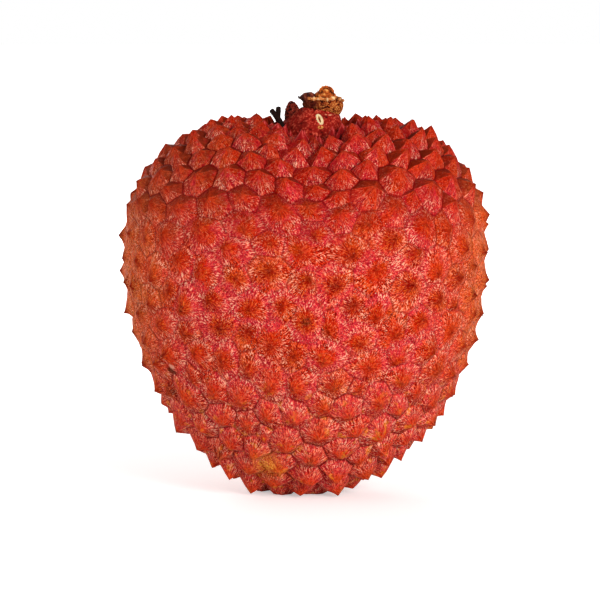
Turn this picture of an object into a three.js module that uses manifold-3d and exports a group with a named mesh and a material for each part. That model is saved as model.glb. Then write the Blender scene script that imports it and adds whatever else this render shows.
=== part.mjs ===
// A ripe lychee, as picked: the tubercled fruit with the stub of its stalk, the small carpel that never
// grew into a fruit, and the dried style between them.
// Millimetres, +Z up. The origin is the middle of the small flat spot that the fruit rests on.
import * as THREE from 'three';
import { ConvexHull } from 'three/addons/math/ConvexHull.js';
import { mergeVertices } from 'three/addons/utils/BufferGeometryUtils.js';
import Module from 'manifold-3d';

// Smooth heart shape of the fruit, without its tubercles
const HALF_WIDTH = 18.0;
const HALF_DEPTH = 16.2;
const WIDEST_HEIGHT = 23.3;
const TAPER_DROP = 23.4; // from the widest level down to the pointed end, a little below the flat spot
const CROWN_RISE = 14.4; // from the widest level up to the crown, before the dip is taken away
const TAPER_EXPONENT = 1.9; // a little more pointed than an ellipse
const CROWN_EXPONENT = 2.5; // squarer shoulders
const DIP_DEPTH = 1.7; // round dip that the stalk stands in
const DIP_RADIUS = 5.2;
const FURROW_DEPTH = 2.0; // furrow over the crown from front to back, between the shoulders
const FURROW_HALF_WIDTH = 3.6;
const SHOULDER_LEAN = 0.1; // the right shoulder stands this much over the left at the fruit's full width
const UNEVENNESS = 0.16; // slow swelling of the whole skin

// Tubercles: one low pyramid per cell of the skin
const TUBERCLE_COUNT = 500;
const TUBERCLE_SEED = 1846;
const SPACING_BODY = 3.6;
const SPACING_CROWN = 2.5;
const SPACING_TAPER = 3.2;
const SPACING_STALK = 1.3; // cells shrink towards the stalk
const SPACING_SPREAD = 0.18; // spacings differ by this share, up and down
const STALK_REACH = 8.0; // how far from the stalk its influence is felt
const STALK_CROWDING = 0.62; // how far the starting places are drawn towards the stalk
const STALK_CROWDING_REACH = 1.0; // and over what angle from it, in radians
const TAPER_CROWDING = 0.12; // how far they are drawn towards the pointed end
const SCATTER = 2.2; // how far they are thrown, in spacings
const SETTLING_ROUNDS = 30;
const SETTLING_REACH = 1.35; // neighbours push each other apart up to this many spacings
const SETTLING_STEP = 0.2;
const TIP_HEIGHT_BODY = 0.62;
const TIP_HEIGHT_LEFT_SHOULDER = 0.5; // nearly smooth on the left, spiky on the right
const TIP_HEIGHT_RIGHT_SHOULDER = 1.0;
const SHOULDER_BLEND = 7; // how far from the middle the two shoulders blend
const TIP_HEIGHT_TAPER = 1.0;
const TIP_HEIGHT_SPREAD = 0.35; // tip heights differ by this share, up and down
const TIP_LEAN_CROWN = 0.85; // tips on the crown lean this far towards the stalk
const TIP_LEAN_STALK = 0.25; // and the small ones around it this far
const TIP_LEAN_TAPER = 0.65; // tips on the taper lean this far towards the pointed end
const TIP_WANDER = 0.5; // width of the square that tips stray in, sideways and up or down the skin
const FOOT_REACH = 0.76; // where a tubercle's slope ends and the groove around it begins, tip 0, border 1
const FOOT_HEIGHT_BODY = 0.1; // height there, as a share of the tip's
const FOOT_HEIGHT_CROWN = 0.2;
const FOOT_HEIGHT_TAPER = 0.32;
const GROOVE_BODY = 0.12;
const GROOVE_CROWN = 0.26;
const GROOVE_TAPER = 0.24;

// Collar: a ring of narrow spikes at the foot of the stalk
const COLLAR_COUNT = 22;
const COLLAR_SEED = 77;
const COLLAR_DISTANCE = 0.85; // from the side of the stalk's mound to the middle of a spike
const COLLAR_RADIUS = 0.55;
const COLLAR_ROOT = 0.5; // how deep a spike starts in the skin
const COLLAR_HEIGHT = 1.7; // how far it stands out of it, in front of the stalk and behind it
const COLLAR_HEIGHT_BESIDE = 0.9; // and at the sides of it
const COLLAR_HEIGHT_SPREAD = 0.3;
const COLLAR_LEAN = 0.3; // towards the stalk
const COLLAR_SIDES = 6;

// Stalk stub: a pebbled mound, a swollen joint and the broken end above it
const STALK_X = 0.75;
const MOUND_HALF_WIDTH = 2.95;
const MOUND_HALF_DEPTH = 2.7;
const MOUND_BOTTOM = 33.6;
const MOUND_TOP = 38.35;
const JOINT_X = 1.75;
const JOINT_RADIUS = 1.9;
const JOINT_BOTTOM = 37.9;
const JOINT_TOP = 39.4;
const JOINT_WAIST = 0.6; // radius of the joint's foot, as a share of its full radius
const RIM_X = 1.5;
const RIM_RADIUS = 2.1;
const RIM_BOTTOM = 38.9;
const RIM_TOP = 40.1;
const BREAK_X = 1.9;
const BREAK_RADIUS = 1.0;
const BREAK_TOP = 40.75;
const STALK_SIDES = 20;

// Carpel that stayed small, an egg-shaped nub beside the joint
const NUB_X = -1.25;
const NUB_Y = -0.35;
const NUB_RADIUS = 0.85;
const NUB_BOTTOM = 36.4;
const NUB_TOP = 39.1;
const NUB_SIDES = 14;

// Dried style, a stiff black fork with two lobes
const STYLE_THICKNESS = 0.42;
const STYLE_FOOT = new THREE.Vector3(-2.3, -1.3, 36.8);
const STYLE_FORK = new THREE.Vector3(-2.75, -1.45, 37.5);
const STYLE_LOBES = [new THREE.Vector3(-3.4, -1.6, 38.25), new THREE.Vector3(-2.65, -1.6, 38.6)];

const GAP = 0.3; // clear space between a piece and the seat cut for it
const UP = new THREE.Vector3(0, 0, 1);

const wasm = await Module();
wasm.setup();

// ---------------------------------------------------------------- solids

// Closed geometry as a solid that can be joined and cut.
function solidOf(geometry) {
  const bare = geometry.clone();
  bare.deleteAttribute('normal');
  bare.deleteAttribute('uv');
  const merged = mergeVertices(bare, 1e-4);
  const corners = merged.index.array;
  const kept = [];
  for (let i = 0; i < corners.length; i += 3) {
    const [a, b, c] = [corners[i], corners[i + 1], corners[i + 2]];
    if (a !== b && b !== c && c !== a) kept.push(a, b, c);
  }
  return new wasm.Manifold(new wasm.Mesh({
    numProp: 3,
    vertProperties: Float32Array.from(merged.attributes.position.array),
    triVerts: Uint32Array.from(kept),
  }));
}

// Solid back to a geometry for a mesh.
function geometryOf(solid) {
  const { vertProperties, triVerts } = solid.getMesh();
  const geometry = new THREE.BufferGeometry();
  geometry.setAttribute('position', new THREE.BufferAttribute(vertProperties, 3));
  geometry.setIndex(new THREE.BufferAttribute(triVerts, 1));
  geometry.computeVertexNormals();
  return geometry;
}

// Solid of revolution about a vertical line at x, y, from [radius, height] pairs read upwards.
function turned(profile, x, y, sides) {
  const outline = profile.map(([radius, height]) => new THREE.Vector2(radius, height));
  return new THREE.LatheGeometry(outline, sides).rotateX(Math.PI / 2).translate(x, y, 0);
}

// Egg-shaped solid between two heights.
function egg(x, y, bottom, top, halfWidth, halfDepth, sides) {
  const halfHeight = (top - bottom) / 2;
  return new THREE.SphereGeometry(1, sides, Math.ceil(sides * 0.6))
    .rotateX(Math.PI / 2)
    .scale(halfWidth, halfDepth, halfHeight)
    .translate(x, y, bottom + halfHeight);
}

// Round rod between two points.
function rod(from, to, thickness) {
  const section = new THREE.Shape().absarc(0, 0, thickness / 2, 0, 2 * Math.PI);
  return new THREE.ExtrudeGeometry(section, {
    steps: 1,
    curveSegments: 8,
    extrudePath: new THREE.LineCurve3(from, to),
  });
}

// ---------------------------------------------------------------- fruit form

// Repeatable random numbers from 0 to 1.
function randomSource(seed) {
  let state = seed;
  return () => {
    state = (state * 16807) % 2147483647;
    return state / 2147483647;
  };
}

// Heart shape before the dip: a squared crown over an elliptical taper, seen from the widest level.
function plainForm(direction) {
  const onCrown = direction.z > 0;
  const exponent = onCrown ? CROWN_EXPONENT : TAPER_EXPONENT;
  const across = Math.hypot(direction.x / HALF_WIDTH, direction.y / HALF_DEPTH);
  const along = Math.abs(direction.z) / (onCrown ? CROWN_RISE : TAPER_DROP);
  const reach = (across ** exponent + along ** exponent) ** (-1 / exponent);
  return direction.clone().multiplyScalar(reach);
}

// How far a level belongs to the crown: 0 at the widest level, 1 at the top.
function crownShare(height) {
  return THREE.MathUtils.smoothstep(height, 0, CROWN_RISE);
}

// Finished smooth form in the part's own frame, with the dip, the furrow, the leaning shoulders and the
// slow swelling.
function smoothForm(direction) {
  const point = plainForm(direction);
  const crown = crownShare(point.z);
  const aside = point.x - STALK_X;
  const dip = DIP_DEPTH * Math.exp(-((Math.hypot(aside, point.y) / DIP_RADIUS) ** 2));
  const furrow = FURROW_DEPTH * Math.exp(-((aside / FURROW_HALF_WIDTH) ** 2));
  const wave = Math.sin(0.21 * point.x + 0.4) * Math.cos(0.17 * point.z - 0.19 * point.y);
  point.addScaledVector(direction, UNEVENNESS * wave);
  point.z += WIDEST_HEIGHT + crown * (SHOULDER_LEAN * (point.x / HALF_WIDTH) - dip - furrow);
  return point;
}

// Outward normal of the smooth form.
function formNormal(direction) {
  const step = 0.02;
  const side = new THREE.Vector3(0.31, 0.87, 0.38).cross(direction).normalize();
  const other = direction.clone().cross(side);
  const along = (tangent) => {
    const ahead = smoothForm(direction.clone().addScaledVector(tangent, step).normalize());
    const behind = smoothForm(direction.clone().addScaledVector(tangent, -step).normalize());
    return ahead.sub(behind);
  };
  return along(side).cross(along(other)).normalize();
}

// ---------------------------------------------------------------- tubercles

// Blend of a body value towards its crown or taper value, by the height over the widest level.
function byLevel(level, body, crown, taper) {
  const high = THREE.MathUtils.smoothstep(level, 0.1 * CROWN_RISE, 0.8 * CROWN_RISE);
  const low = THREE.MathUtils.smoothstep(-level, 0.3 * TAPER_DROP, 0.8 * TAPER_DROP);
  return body + (crown - body) * high + (taper - body) * low;
}

// The same blend for a point in the part's own frame.
function byRegion(point, body, crown, taper) {
  return byLevel(point.z - WIDEST_HEIGHT, body, crown, taper);
}

// How near a point is to the middle of the crown, from the side: 1 on the axis, falling away from it.
function nearAxis(point) {
  return Math.exp(-((Math.hypot(point.x, point.y) / STALK_REACH) ** 2));
}

// Wanted distance between neighbouring tubercles at a point of the plain form.
function spacingAt(point) {
  const spacing = byLevel(point.z, SPACING_BODY, SPACING_CROWN, SPACING_TAPER);
  return THREE.MathUtils.lerp(spacing, SPACING_STALK, nearAxis(point) * crownShare(point.z));
}

// Directions of the tubercles: an even spiral, thrown about and then settled by pushing apart.
function tubercleDirections() {
  const random = randomSource(TUBERCLE_SEED);
  const goldenAngle = Math.PI * (3 - Math.sqrt(5));
  const throwing = SCATTER * Math.sqrt((4 * Math.PI) / TUBERCLE_COUNT);
  const directions = [];
  const sizes = [];
  for (let i = 0; i < TUBERCLE_COUNT; i += 1) {
    const even = 1 - (2 * i + 1) / TUBERCLE_COUNT;
    const fromStalk = Math.acos(even - TAPER_CROWDING * (1 - even * even));
    const polar = fromStalk * (1 - STALK_CROWDING * Math.exp(-((fromStalk / STALK_CROWDING_REACH) ** 2)));
    const turn = i * goldenAngle;
    const place = new THREE.Vector3(Math.cos(turn), Math.sin(turn), 0).multiplyScalar(Math.sin(polar));
    place.z = Math.cos(polar);
    const thrown = new THREE.Vector3(random() - 0.5, random() - 0.5, random() - 0.5);
    directions.push(place.addScaledVector(thrown, throwing).normalize());
    sizes.push(1 + SPACING_SPREAD * (2 * random() - 1));
  }
  for (let round = 0; round < SETTLING_ROUNDS; round += 1) settle(directions, sizes);
  return directions;
}

// One round of neighbours pushing each other apart on the plain form, each by its own size.
function settle(directions, sizes) {
  const points = directions.map(plainForm);
  const spacings = points.map((point, i) => spacingAt(point) * sizes[i]);
  const pushes = points.map(() => new THREE.Vector3());
  for (let i = 0; i < points.length; i += 1) {
    for (let j = i + 1; j < points.length; j += 1) {
      const reach = SETTLING_REACH * 0.5 * (spacings[i] + spacings[j]);
      const distance = points[i].distanceTo(points[j]);
      if (distance >= reach) continue;
      const push = points[i].clone().sub(points[j]);
      push.multiplyScalar((SETTLING_STEP * (reach - distance)) / distance);
      pushes[i].add(push);
      pushes[j].sub(push);
    }
  }
  points.forEach((point, i) => directions[i].copy(point.add(pushes[i]).normalize()));
}

// Cells of the skin: for each direction, its corner directions in order, seen from outside. A corner is
// the middle of three neighbours.
function skinCells(directions) {
  const numberOf = new Map(directions.map((direction, i) => [direction, i]));
  const corners = [];
  const around = directions.map(() => new Map());
  for (const face of new ConvexHull().setFromPoints(directions).faces) {
    const [a, b, c] = [0, 1, 2].map((i) => numberOf.get(face.getEdge(i).head().point));
    around[a].set(b, { corner: corners.length, next: c });
    around[b].set(c, { corner: corners.length, next: a });
    around[c].set(a, { corner: corners.length, next: b });
    corners.push(directions[a].clone().add(directions[b]).add(directions[c]).normalize());
  }
  const cells = around.map((steps) => {
    const cell = [];
    const first = steps.keys().next().value;
    for (let at = first; cell.length < steps.size; at = steps.get(at).next) cell.push(steps.get(at).corner);
    return cell;
  });
  return { corners, cells };
}

// Height of a tubercle's tip over the smooth form; chance is from 0 to 1.
function tipHeight(point, chance) {
  const rightward = THREE.MathUtils.smoothstep(point.x, -SHOULDER_BLEND, SHOULDER_BLEND);
  const onCrown = THREE.MathUtils.lerp(TIP_HEIGHT_LEFT_SHOULDER, TIP_HEIGHT_RIGHT_SHOULDER, rightward);
  const height = byRegion(point, TIP_HEIGHT_BODY, onCrown, TIP_HEIGHT_TAPER);
  return height * (1 + TIP_HEIGHT_SPREAD * (2 * chance - 1));
}

// Tip of a tubercle, strayed a little, leaning away from the middle of the fruit towards its nearer end.
function tubercleTip(direction, chances) {
  const point = smoothForm(direction);
  const normal = formNormal(direction);
  const height = tipHeight(point, chances[0]);
  const uphill = UP.clone().projectOnPlane(normal);
  const east = UP.clone().cross(normal).normalize();
  const onCrown = THREE.MathUtils.lerp(TIP_LEAN_CROWN, TIP_LEAN_STALK, nearAxis(point));
  const lean = byRegion(point, 0, onCrown, -TIP_LEAN_TAPER);
  return point
    .addScaledVector(normal, height)
    .addScaledVector(east, TIP_WANDER * (chances[1] - 0.5))
    .addScaledVector(uphill, lean + TIP_WANDER * (chances[2] - 0.5));
}

// Point at the foot of a tubercle's slope, on the way to one corner of its cell.
function tubercleFoot(direction, corner, chances) {
  const way = direction.clone().lerp(corner, FOOT_REACH).normalize();
  const point = smoothForm(way);
  const share = byRegion(point, FOOT_HEIGHT_BODY, FOOT_HEIGHT_CROWN, FOOT_HEIGHT_TAPER);
  return point.addScaledVector(formNormal(way), share * tipHeight(point, chances[0]));
}

// Bottom of the groove at a corner where cells meet.
function groovePoint(corner) {
  const point = smoothForm(corner);
  const depth = byRegion(point, GROOVE_BODY, GROOVE_CROWN, GROOVE_TAPER);
  return point.addScaledVector(formNormal(corner), -depth);
}

// Whole skin of low pyramids with grooves between them, as one closed geometry.
function tubercledSkin() {
  const random = randomSource(TUBERCLE_SEED + 1);
  const directions = tubercleDirections();
  const { corners, cells } = skinCells(directions);
  const points = corners.map(groovePoint);
  const triangles = [];
  cells.forEach((cell, i) => {
    const chances = [random(), random(), random()];
    const tip = points.length;
    points.push(tubercleTip(directions[i], chances));
    cell.forEach((corner) => points.push(tubercleFoot(directions[i], corners[corner], chances)));
    cell.forEach((corner, k) => {
      const after = (k + 1) % cell.length;
      const foot = tip + 1 + k;
      const nextFoot = tip + 1 + after;
      triangles.push(tip, foot, nextFoot);
      triangles.push(foot, corner, cell[after]);
      triangles.push(foot, cell[after], nextFoot);
    });
  });
  const geometry = new THREE.BufferGeometry().setFromPoints(points);
  geometry.setIndex(triangles);
  return geometry;
}

// Point of the smooth form over a place on the crown.
function crownPoint(x, y) {
  const across = Math.hypot(x / HALF_WIDTH, y / HALF_DEPTH);
  const height = CROWN_RISE * (1 - across ** CROWN_EXPONENT) ** (1 / CROWN_EXPONENT);
  return smoothForm(new THREE.Vector3(x, y, height).normalize());
}

// One narrow spike of the collar, standing out of the skin and leaning towards the stalk.
function collarSpike(turn, chance) {
  const outward = new THREE.Vector3(Math.cos(turn), Math.sin(turn), 0);
  const x = STALK_X + (MOUND_HALF_WIDTH + COLLAR_DISTANCE) * outward.x;
  const y = (MOUND_HALF_DEPTH + COLLAR_DISTANCE) * outward.y;
  const tall = THREE.MathUtils.lerp(COLLAR_HEIGHT_BESIDE, COLLAR_HEIGHT, Math.abs(outward.y));
  const height = COLLAR_ROOT + tall * (1 + COLLAR_HEIGHT_SPREAD * (2 * chance - 1));
  const upright = new THREE.ConeGeometry(COLLAR_RADIUS, height, COLLAR_SIDES).rotateX(Math.PI / 2);
  const lean = new THREE.Vector3().addScaledVector(outward, -COLLAR_LEAN).addScaledVector(UP, height);
  upright.applyQuaternion(new THREE.Quaternion().setFromUnitVectors(UP, lean.normalize()));
  const root = crownPoint(x, y);
  return upright.translate(x, y, root.z - COLLAR_ROOT + height / 2);
}

// All spikes of the collar as one solid.
function collarSolid() {
  const random = randomSource(COLLAR_SEED);
  const spikes = Array.from({ length: COLLAR_COUNT }, (_, i) => {
    const turn = ((i + 0.5 * random()) / COLLAR_COUNT) * 2 * Math.PI;
    return solidOf(collarSpike(turn, random()));
  });
  return wasm.Manifold.union(spikes);
}

// ---------------------------------------------------------------- pieces

// Fruit: the skin with its collar, flattened where it rests and with a round seat for the stalk's mound.
function fruitGeometry() {
  const room = 4 * HALF_WIDTH;
  const below = new THREE.BoxGeometry(room, room, room).translate(0, 0, -room / 2);
  const seatBottom = MOUND_BOTTOM - GAP;
  const seat = new THREE.CylinderGeometry(1, 1, room, STALK_SIDES)
    .rotateX(Math.PI / 2)
    .scale(MOUND_HALF_WIDTH + GAP, MOUND_HALF_DEPTH + GAP, 1)
    .translate(STALK_X, 0, seatBottom + room / 2);
  const skin = solidOf(tubercledSkin()).add(collarSolid());
  return geometryOf(skin.subtract(solidOf(below)).subtract(solidOf(seat)));
}

// Stalk: a domed mound, the urn-shaped joint on it with its rounded rim and the broken end, grown as one
// piece, with hollows where the small carpel and the style stand.
function stalkGeometry() {
  const moundHeight = MOUND_TOP - MOUND_BOTTOM;
  const mound = turned(
    [[0, 0], [1, 0], [0.98, 0.35], [0.85, 0.68], [0.55, 0.92], [0, 1]],
    0, 0, STALK_SIDES,
  ).scale(MOUND_HALF_WIDTH, MOUND_HALF_DEPTH, moundHeight).translate(STALK_X, 0, MOUND_BOTTOM);
  const jointHeight = JOINT_TOP - JOINT_BOTTOM;
  const joint = turned(
    [
      [0, JOINT_BOTTOM],
      [JOINT_WAIST * JOINT_RADIUS, JOINT_BOTTOM],
      [JOINT_RADIUS, JOINT_BOTTOM + 0.55 * jointHeight],
      [0.9 * JOINT_RADIUS, JOINT_TOP],
      [0, JOINT_TOP],
    ],
    JOINT_X, 0, STALK_SIDES,
  );
  const rim = egg(RIM_X, 0, RIM_BOTTOM, RIM_TOP, RIM_RADIUS, RIM_RADIUS, STALK_SIDES);
  const broken = turned(
    [[0, JOINT_BOTTOM], [BREAK_RADIUS, JOINT_BOTTOM], [0.7 * BREAK_RADIUS, RIM_TOP], [0, BREAK_TOP]],
    BREAK_X, 0, STALK_SIDES,
  );
  return geometryOf(
    solidOf(mound)
      .add(solidOf(joint))
      .add(solidOf(rim))
      .add(solidOf(broken))
      .subtract(solidOf(nubGeometry(GAP)))
      .subtract(styleSolid(GAP)),
  );
}

// Small carpel, with room around it when it is used to cut.
function nubGeometry(room = 0) {
  const radius = NUB_RADIUS + room;
  return egg(NUB_X, NUB_Y, NUB_BOTTOM - room, NUB_TOP + room, radius, radius, NUB_SIDES);
}

// Dried style as a joined fork, with room around it when it is used to cut.
function styleSolid(room = 0) {
  const thickness = STYLE_THICKNESS + 2 * room;
  const foot = STYLE_FOOT.clone().addScaledVector(UP, -room);
  const stem = solidOf(rod(foot, STYLE_FORK, thickness));
  return STYLE_LOBES.reduce((fork, lobe) => {
    const start = STYLE_FORK.clone().lerp(STYLE_FOOT, 0.3);
    return fork.add(solidOf(rod(start, lobe, thickness)));
  }, stem);
}

// Named mesh with its own matt, non-metal finish.
function piece(name, geometry, colour, roughness) {
  const material = new THREE.MeshStandardMaterial({ color: colour, roughness, metalness: 0 });
  const mesh = new THREE.Mesh(geometry, material);
  mesh.name = name;
  return mesh;
}

const lychee = new THREE.Group();
lychee.name = 'lychee';
lychee.add(
  piece('fruit', fruitGeometry(), '#c8432d', 0.6),
  piece('stalk', stalkGeometry(), '#93431f', 0.85),
  piece('undeveloped_carpel', nubGeometry(), '#67221a', 0.8),
  piece('dried_style', geometryOf(styleSolid()), '#1c0f0c', 0.7),
);

export default lychee;
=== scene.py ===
"""Lychee as picked: the tubercled fruit, the stub of its stalk, the small carpel and the dried style.

Lengths are held in millimetres and turned into metres where a mesh is finished. +Z is up, the fruit
rests on z = 0, and the camera looks from the front, along +Y.
"""

import logging
import math
from collections.abc import Callable, Iterator
from dataclasses import dataclass
from enum import Enum

import bmesh
import bpy
import numpy as np
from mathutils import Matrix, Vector


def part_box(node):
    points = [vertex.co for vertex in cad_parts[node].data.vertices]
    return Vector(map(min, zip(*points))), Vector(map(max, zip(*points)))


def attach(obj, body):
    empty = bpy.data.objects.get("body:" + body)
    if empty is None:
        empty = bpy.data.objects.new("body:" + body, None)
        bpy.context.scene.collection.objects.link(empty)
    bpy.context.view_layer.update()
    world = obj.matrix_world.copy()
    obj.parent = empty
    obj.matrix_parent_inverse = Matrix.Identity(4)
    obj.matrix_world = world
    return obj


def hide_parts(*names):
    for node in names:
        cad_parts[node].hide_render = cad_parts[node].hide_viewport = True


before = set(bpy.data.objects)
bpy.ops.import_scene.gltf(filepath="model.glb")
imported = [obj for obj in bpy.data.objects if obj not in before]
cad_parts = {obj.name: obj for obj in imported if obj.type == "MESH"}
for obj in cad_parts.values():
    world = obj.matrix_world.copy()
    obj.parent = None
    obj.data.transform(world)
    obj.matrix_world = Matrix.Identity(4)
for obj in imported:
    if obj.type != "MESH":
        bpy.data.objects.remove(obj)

LOG = logging.getLogger("lychee")
MM = 0.001
ROOT = "root"

Number = float | int
Triple = tuple[float, float, float]
Colour = tuple[int, int, int]


class Slot(Enum):
    """Material slots of the record."""

    SKIN = "skin"
    STALK = "stalk"
    CARPEL = "carpel"
    STYLE = "style"


class Node(Enum):
    """Pieces of the CAD model."""

    FRUIT = "fruit"
    STALK = "stalk"
    CARPEL = "undeveloped_carpel"
    STYLE = "dried_style"


# ---------------------------------------------------------------- formulas as node trees


class Field:
    """Output of a node that can stand in a formula like a number or a vector."""

    def __init__(self, graph: "Graph", socket: bpy.types.NodeSocket) -> None:
        """Wraps a socket.

        Args:
            graph: Graph that holds the socket's node.
            socket: Output socket.
        """
        self.graph = graph
        self.socket = socket

    @property
    def is_vector(self) -> bool:
        """Whether the value has three parts."""
        return self.socket.type in ("VECTOR", "RGBA")

    def __add__(self, other: "Operand") -> "Field":
        """Sum."""
        return self.graph.arithmetic("ADD", self, other)

    def __radd__(self, other: "Operand") -> "Field":
        """Sum with a plain number on the left."""
        return self.graph.arithmetic("ADD", other, self)

    def __sub__(self, other: "Operand") -> "Field":
        """Difference."""
        return self.graph.arithmetic("SUBTRACT", self, other)

    def __rsub__(self, other: "Operand") -> "Field":
        """Difference with a plain number on the left."""
        return self.graph.arithmetic("SUBTRACT", other, self)

    def __mul__(self, other: "Operand") -> "Field":
        """Product, part by part for vectors."""
        return self.graph.arithmetic("MULTIPLY", self, other)

    def __rmul__(self, other: "Operand") -> "Field":
        """Product with a plain number on the left."""
        return self.graph.arithmetic("MULTIPLY", other, self)

    def __truediv__(self, other: "Operand") -> "Field":
        """Quotient, part by part for vectors."""
        return self.graph.arithmetic("DIVIDE", self, other)

    def __rtruediv__(self, other: "Operand") -> "Field":
        """Quotient with a plain number on the left."""
        return self.graph.arithmetic("DIVIDE", other, self)

    def __pow__(self, other: "Operand") -> "Field":
        """Power of a number."""
        return self.graph.math("POWER", self, other)

    def __neg__(self) -> "Field":
        """Opposite."""
        return self.graph.arithmetic("MULTIPLY", self, -1.0)

    @property
    def parts(self) -> tuple["Field", "Field", "Field"]:
        """The three parts of a vector."""
        node = self.graph.add("ShaderNodeSeparateXYZ", {"Vector": self})
        return tuple(Field(self.graph, output) for output in node.outputs)


Operand = Field | Number | tuple


def has_parts(operand: Operand) -> bool:
    """Whether an operand is a vector."""
    return isinstance(operand, tuple) or getattr(operand, "is_vector", False)


class Graph:
    """Builds one shader or geometry tree from formulas."""

    def __init__(self, tree: bpy.types.NodeTree) -> None:
        """Starts on a tree.

        Args:
            tree: Tree that receives the nodes.
        """
        self.tree = tree

    def add(self, kind: str, inputs: dict | None = None, **settings: object) -> bpy.types.Node:
        """Adds a node.

        Args:
            kind: Blender's type name of the node.
            inputs: Values or fields by input name or number.
            settings: Properties of the node itself.

        Returns:
            The new node.
        """
        node = self.tree.nodes.new(kind)
        for name, value in settings.items():
            setattr(node, name, value)
        for name, value in (inputs or {}).items():
            self.feed(node.inputs[name], value)
        return node

    def feed(self, socket: bpy.types.NodeSocket, value: object) -> None:
        """Links a field to an input, or writes a plain value into it.

        Args:
            socket: Input socket.
            value: Field, output socket, number, tuple or data-block.
        """
        if isinstance(value, Field):
            self.tree.links.new(value.socket, socket)
        elif isinstance(value, bpy.types.NodeSocket):
            self.tree.links.new(value, socket)
        elif socket.type == "VECTOR" and isinstance(value, (float, int)):
            socket.default_value = (value, value, value)
        else:
            socket.default_value = value

    def out(self, node: bpy.types.Node, name: str | int = 0) -> Field:
        """Output of a node as a field."""
        return Field(self, node.outputs[name])

    def math(self, operation: str, *operands: Operand) -> Field:
        """Math on numbers, by the operation's Blender name."""
        node = self.add("ShaderNodeMath", dict(enumerate(operands)), operation=operation)
        return self.out(node)

    def vector_math(self, operation: str, *operands: Operand) -> Field:
        """Vector math.

        Args:
            operation: Blender's name of the operation.
            operands: What it works on, in order.

        Returns:
            The output that the operation fills.
        """
        node = self.add("ShaderNodeVectorMath", dict(enumerate(operands)), operation=operation)
        filled = "Value" if operation in ("LENGTH", "DOT_PRODUCT") else "Vector"
        return self.out(node, filled)

    def arithmetic(self, operation: str, left: Operand, right: Operand) -> Field:
        """Vector math if either side is a vector, and plain math if not."""
        work = self.vector_math if has_parts(left) or has_parts(right) else self.math
        return work(operation, left, right)

    def exp(self, value: Operand) -> Field:
        """Natural exponential."""
        return self.math("EXPONENT", value)

    def bell(self, distance: Operand, width: Operand) -> Field:
        """Bell curve that is 1 at distance 0 and falls to 0.37 at the width."""
        share = distance / width
        return self.exp(-(share * share))

    def length(self, value: Field) -> Field:
        """Length of a vector."""
        return self.vector_math("LENGTH", value)

    def normalize(self, value: Field) -> Field:
        """Vector of length 1."""
        return self.vector_math("NORMALIZE", value)

    def dot(self, left: Operand, right: Operand) -> Field:
        """Dot product."""
        return self.vector_math("DOT_PRODUCT", left, right)

    def cross(self, left: Operand, right: Operand) -> Field:
        """Cross product."""
        return self.vector_math("CROSS_PRODUCT", left, right)

    def combine(self, x: Operand, y: Operand, z: Operand) -> Field:
        """Vector from three numbers."""
        return self.out(self.add("ShaderNodeCombineXYZ", {0: x, 1: y, 2: z}))

    def clamp(self, value: Operand) -> Field:
        """Number held between 0 and 1."""
        return self.out(self.add("ShaderNodeClamp", {"Value": value}))

    def smoothstep(self, value: Operand, start: Operand, end: Operand) -> Field:
        """Smooth rise.

        Args:
            value: Number to judge.
            start: Value at which the rise is still 0.
            end: Value from which it is 1; below the start it makes a fall.

        Returns:
            Share from 0 to 1.
        """
        node = self.add(
            "ShaderNodeMapRange",
            {"Value": value, "From Min": start, "From Max": end},
            interpolation_type="SMOOTHSTEP",
        )
        return self.out(node)

    def mix(self, share: Operand, low: Operand, high: Operand) -> Field:
        """Blend of numbers or vectors.

        Args:
            share: Share of the high side, from 0 to 1.
            low: Result at 0.
            high: Result at 1.

        Returns:
            The blend.
        """
        kind, first, output = ("VECTOR", 4, 1) if has_parts(low) or has_parts(high) else ("FLOAT", 2, 0)
        node = self.add("ShaderNodeMix", {0: share, first: low, first + 1: high}, data_type=kind)
        return self.out(node, output)

    def noise(self, place: Operand, scale: Number, detail: Number = 2.0, rough: Number = 0.5) -> Field:
        """Fractal noise from about 0 to 1, with features one unit of place apart at scale 1."""
        inputs = {"Vector": place, "Scale": scale, "Detail": detail, "Roughness": rough}
        return self.out(self.add("ShaderNodeTexNoise", inputs), 0)

    def noise_vector(self, place: Operand, scale: Number, detail: Number = 2.0) -> Field:
        """Noise of three parts from about -0.5 to 0.5."""
        node = self.add("ShaderNodeTexNoise", {"Vector": place, "Scale": scale, "Detail": detail})
        return self.out(node, "Color") - (0.5, 0.5, 0.5)

    def seen(self) -> Field:
        """What the camera sees.

        Returns:
            1 for what is seen directly, in a reflection or through glass, and 0 for plain light.
        """
        rays = self.add("ShaderNodeLightPath")
        direct, glossy = self.out(rays, "Is Camera Ray"), self.out(rays, "Is Glossy Ray")
        through = self.out(rays, "Is Transmission Ray")
        return self.math("MAXIMUM", direct, self.math("MAXIMUM", glossy, through))

    def cells(self, place: Operand, scale: Number) -> Field:
        """Distance from the nearest scattered point."""
        node = self.add("ShaderNodeTexVoronoi", {"Vector": place, "Scale": scale})
        return self.out(node, "Distance")


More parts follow.
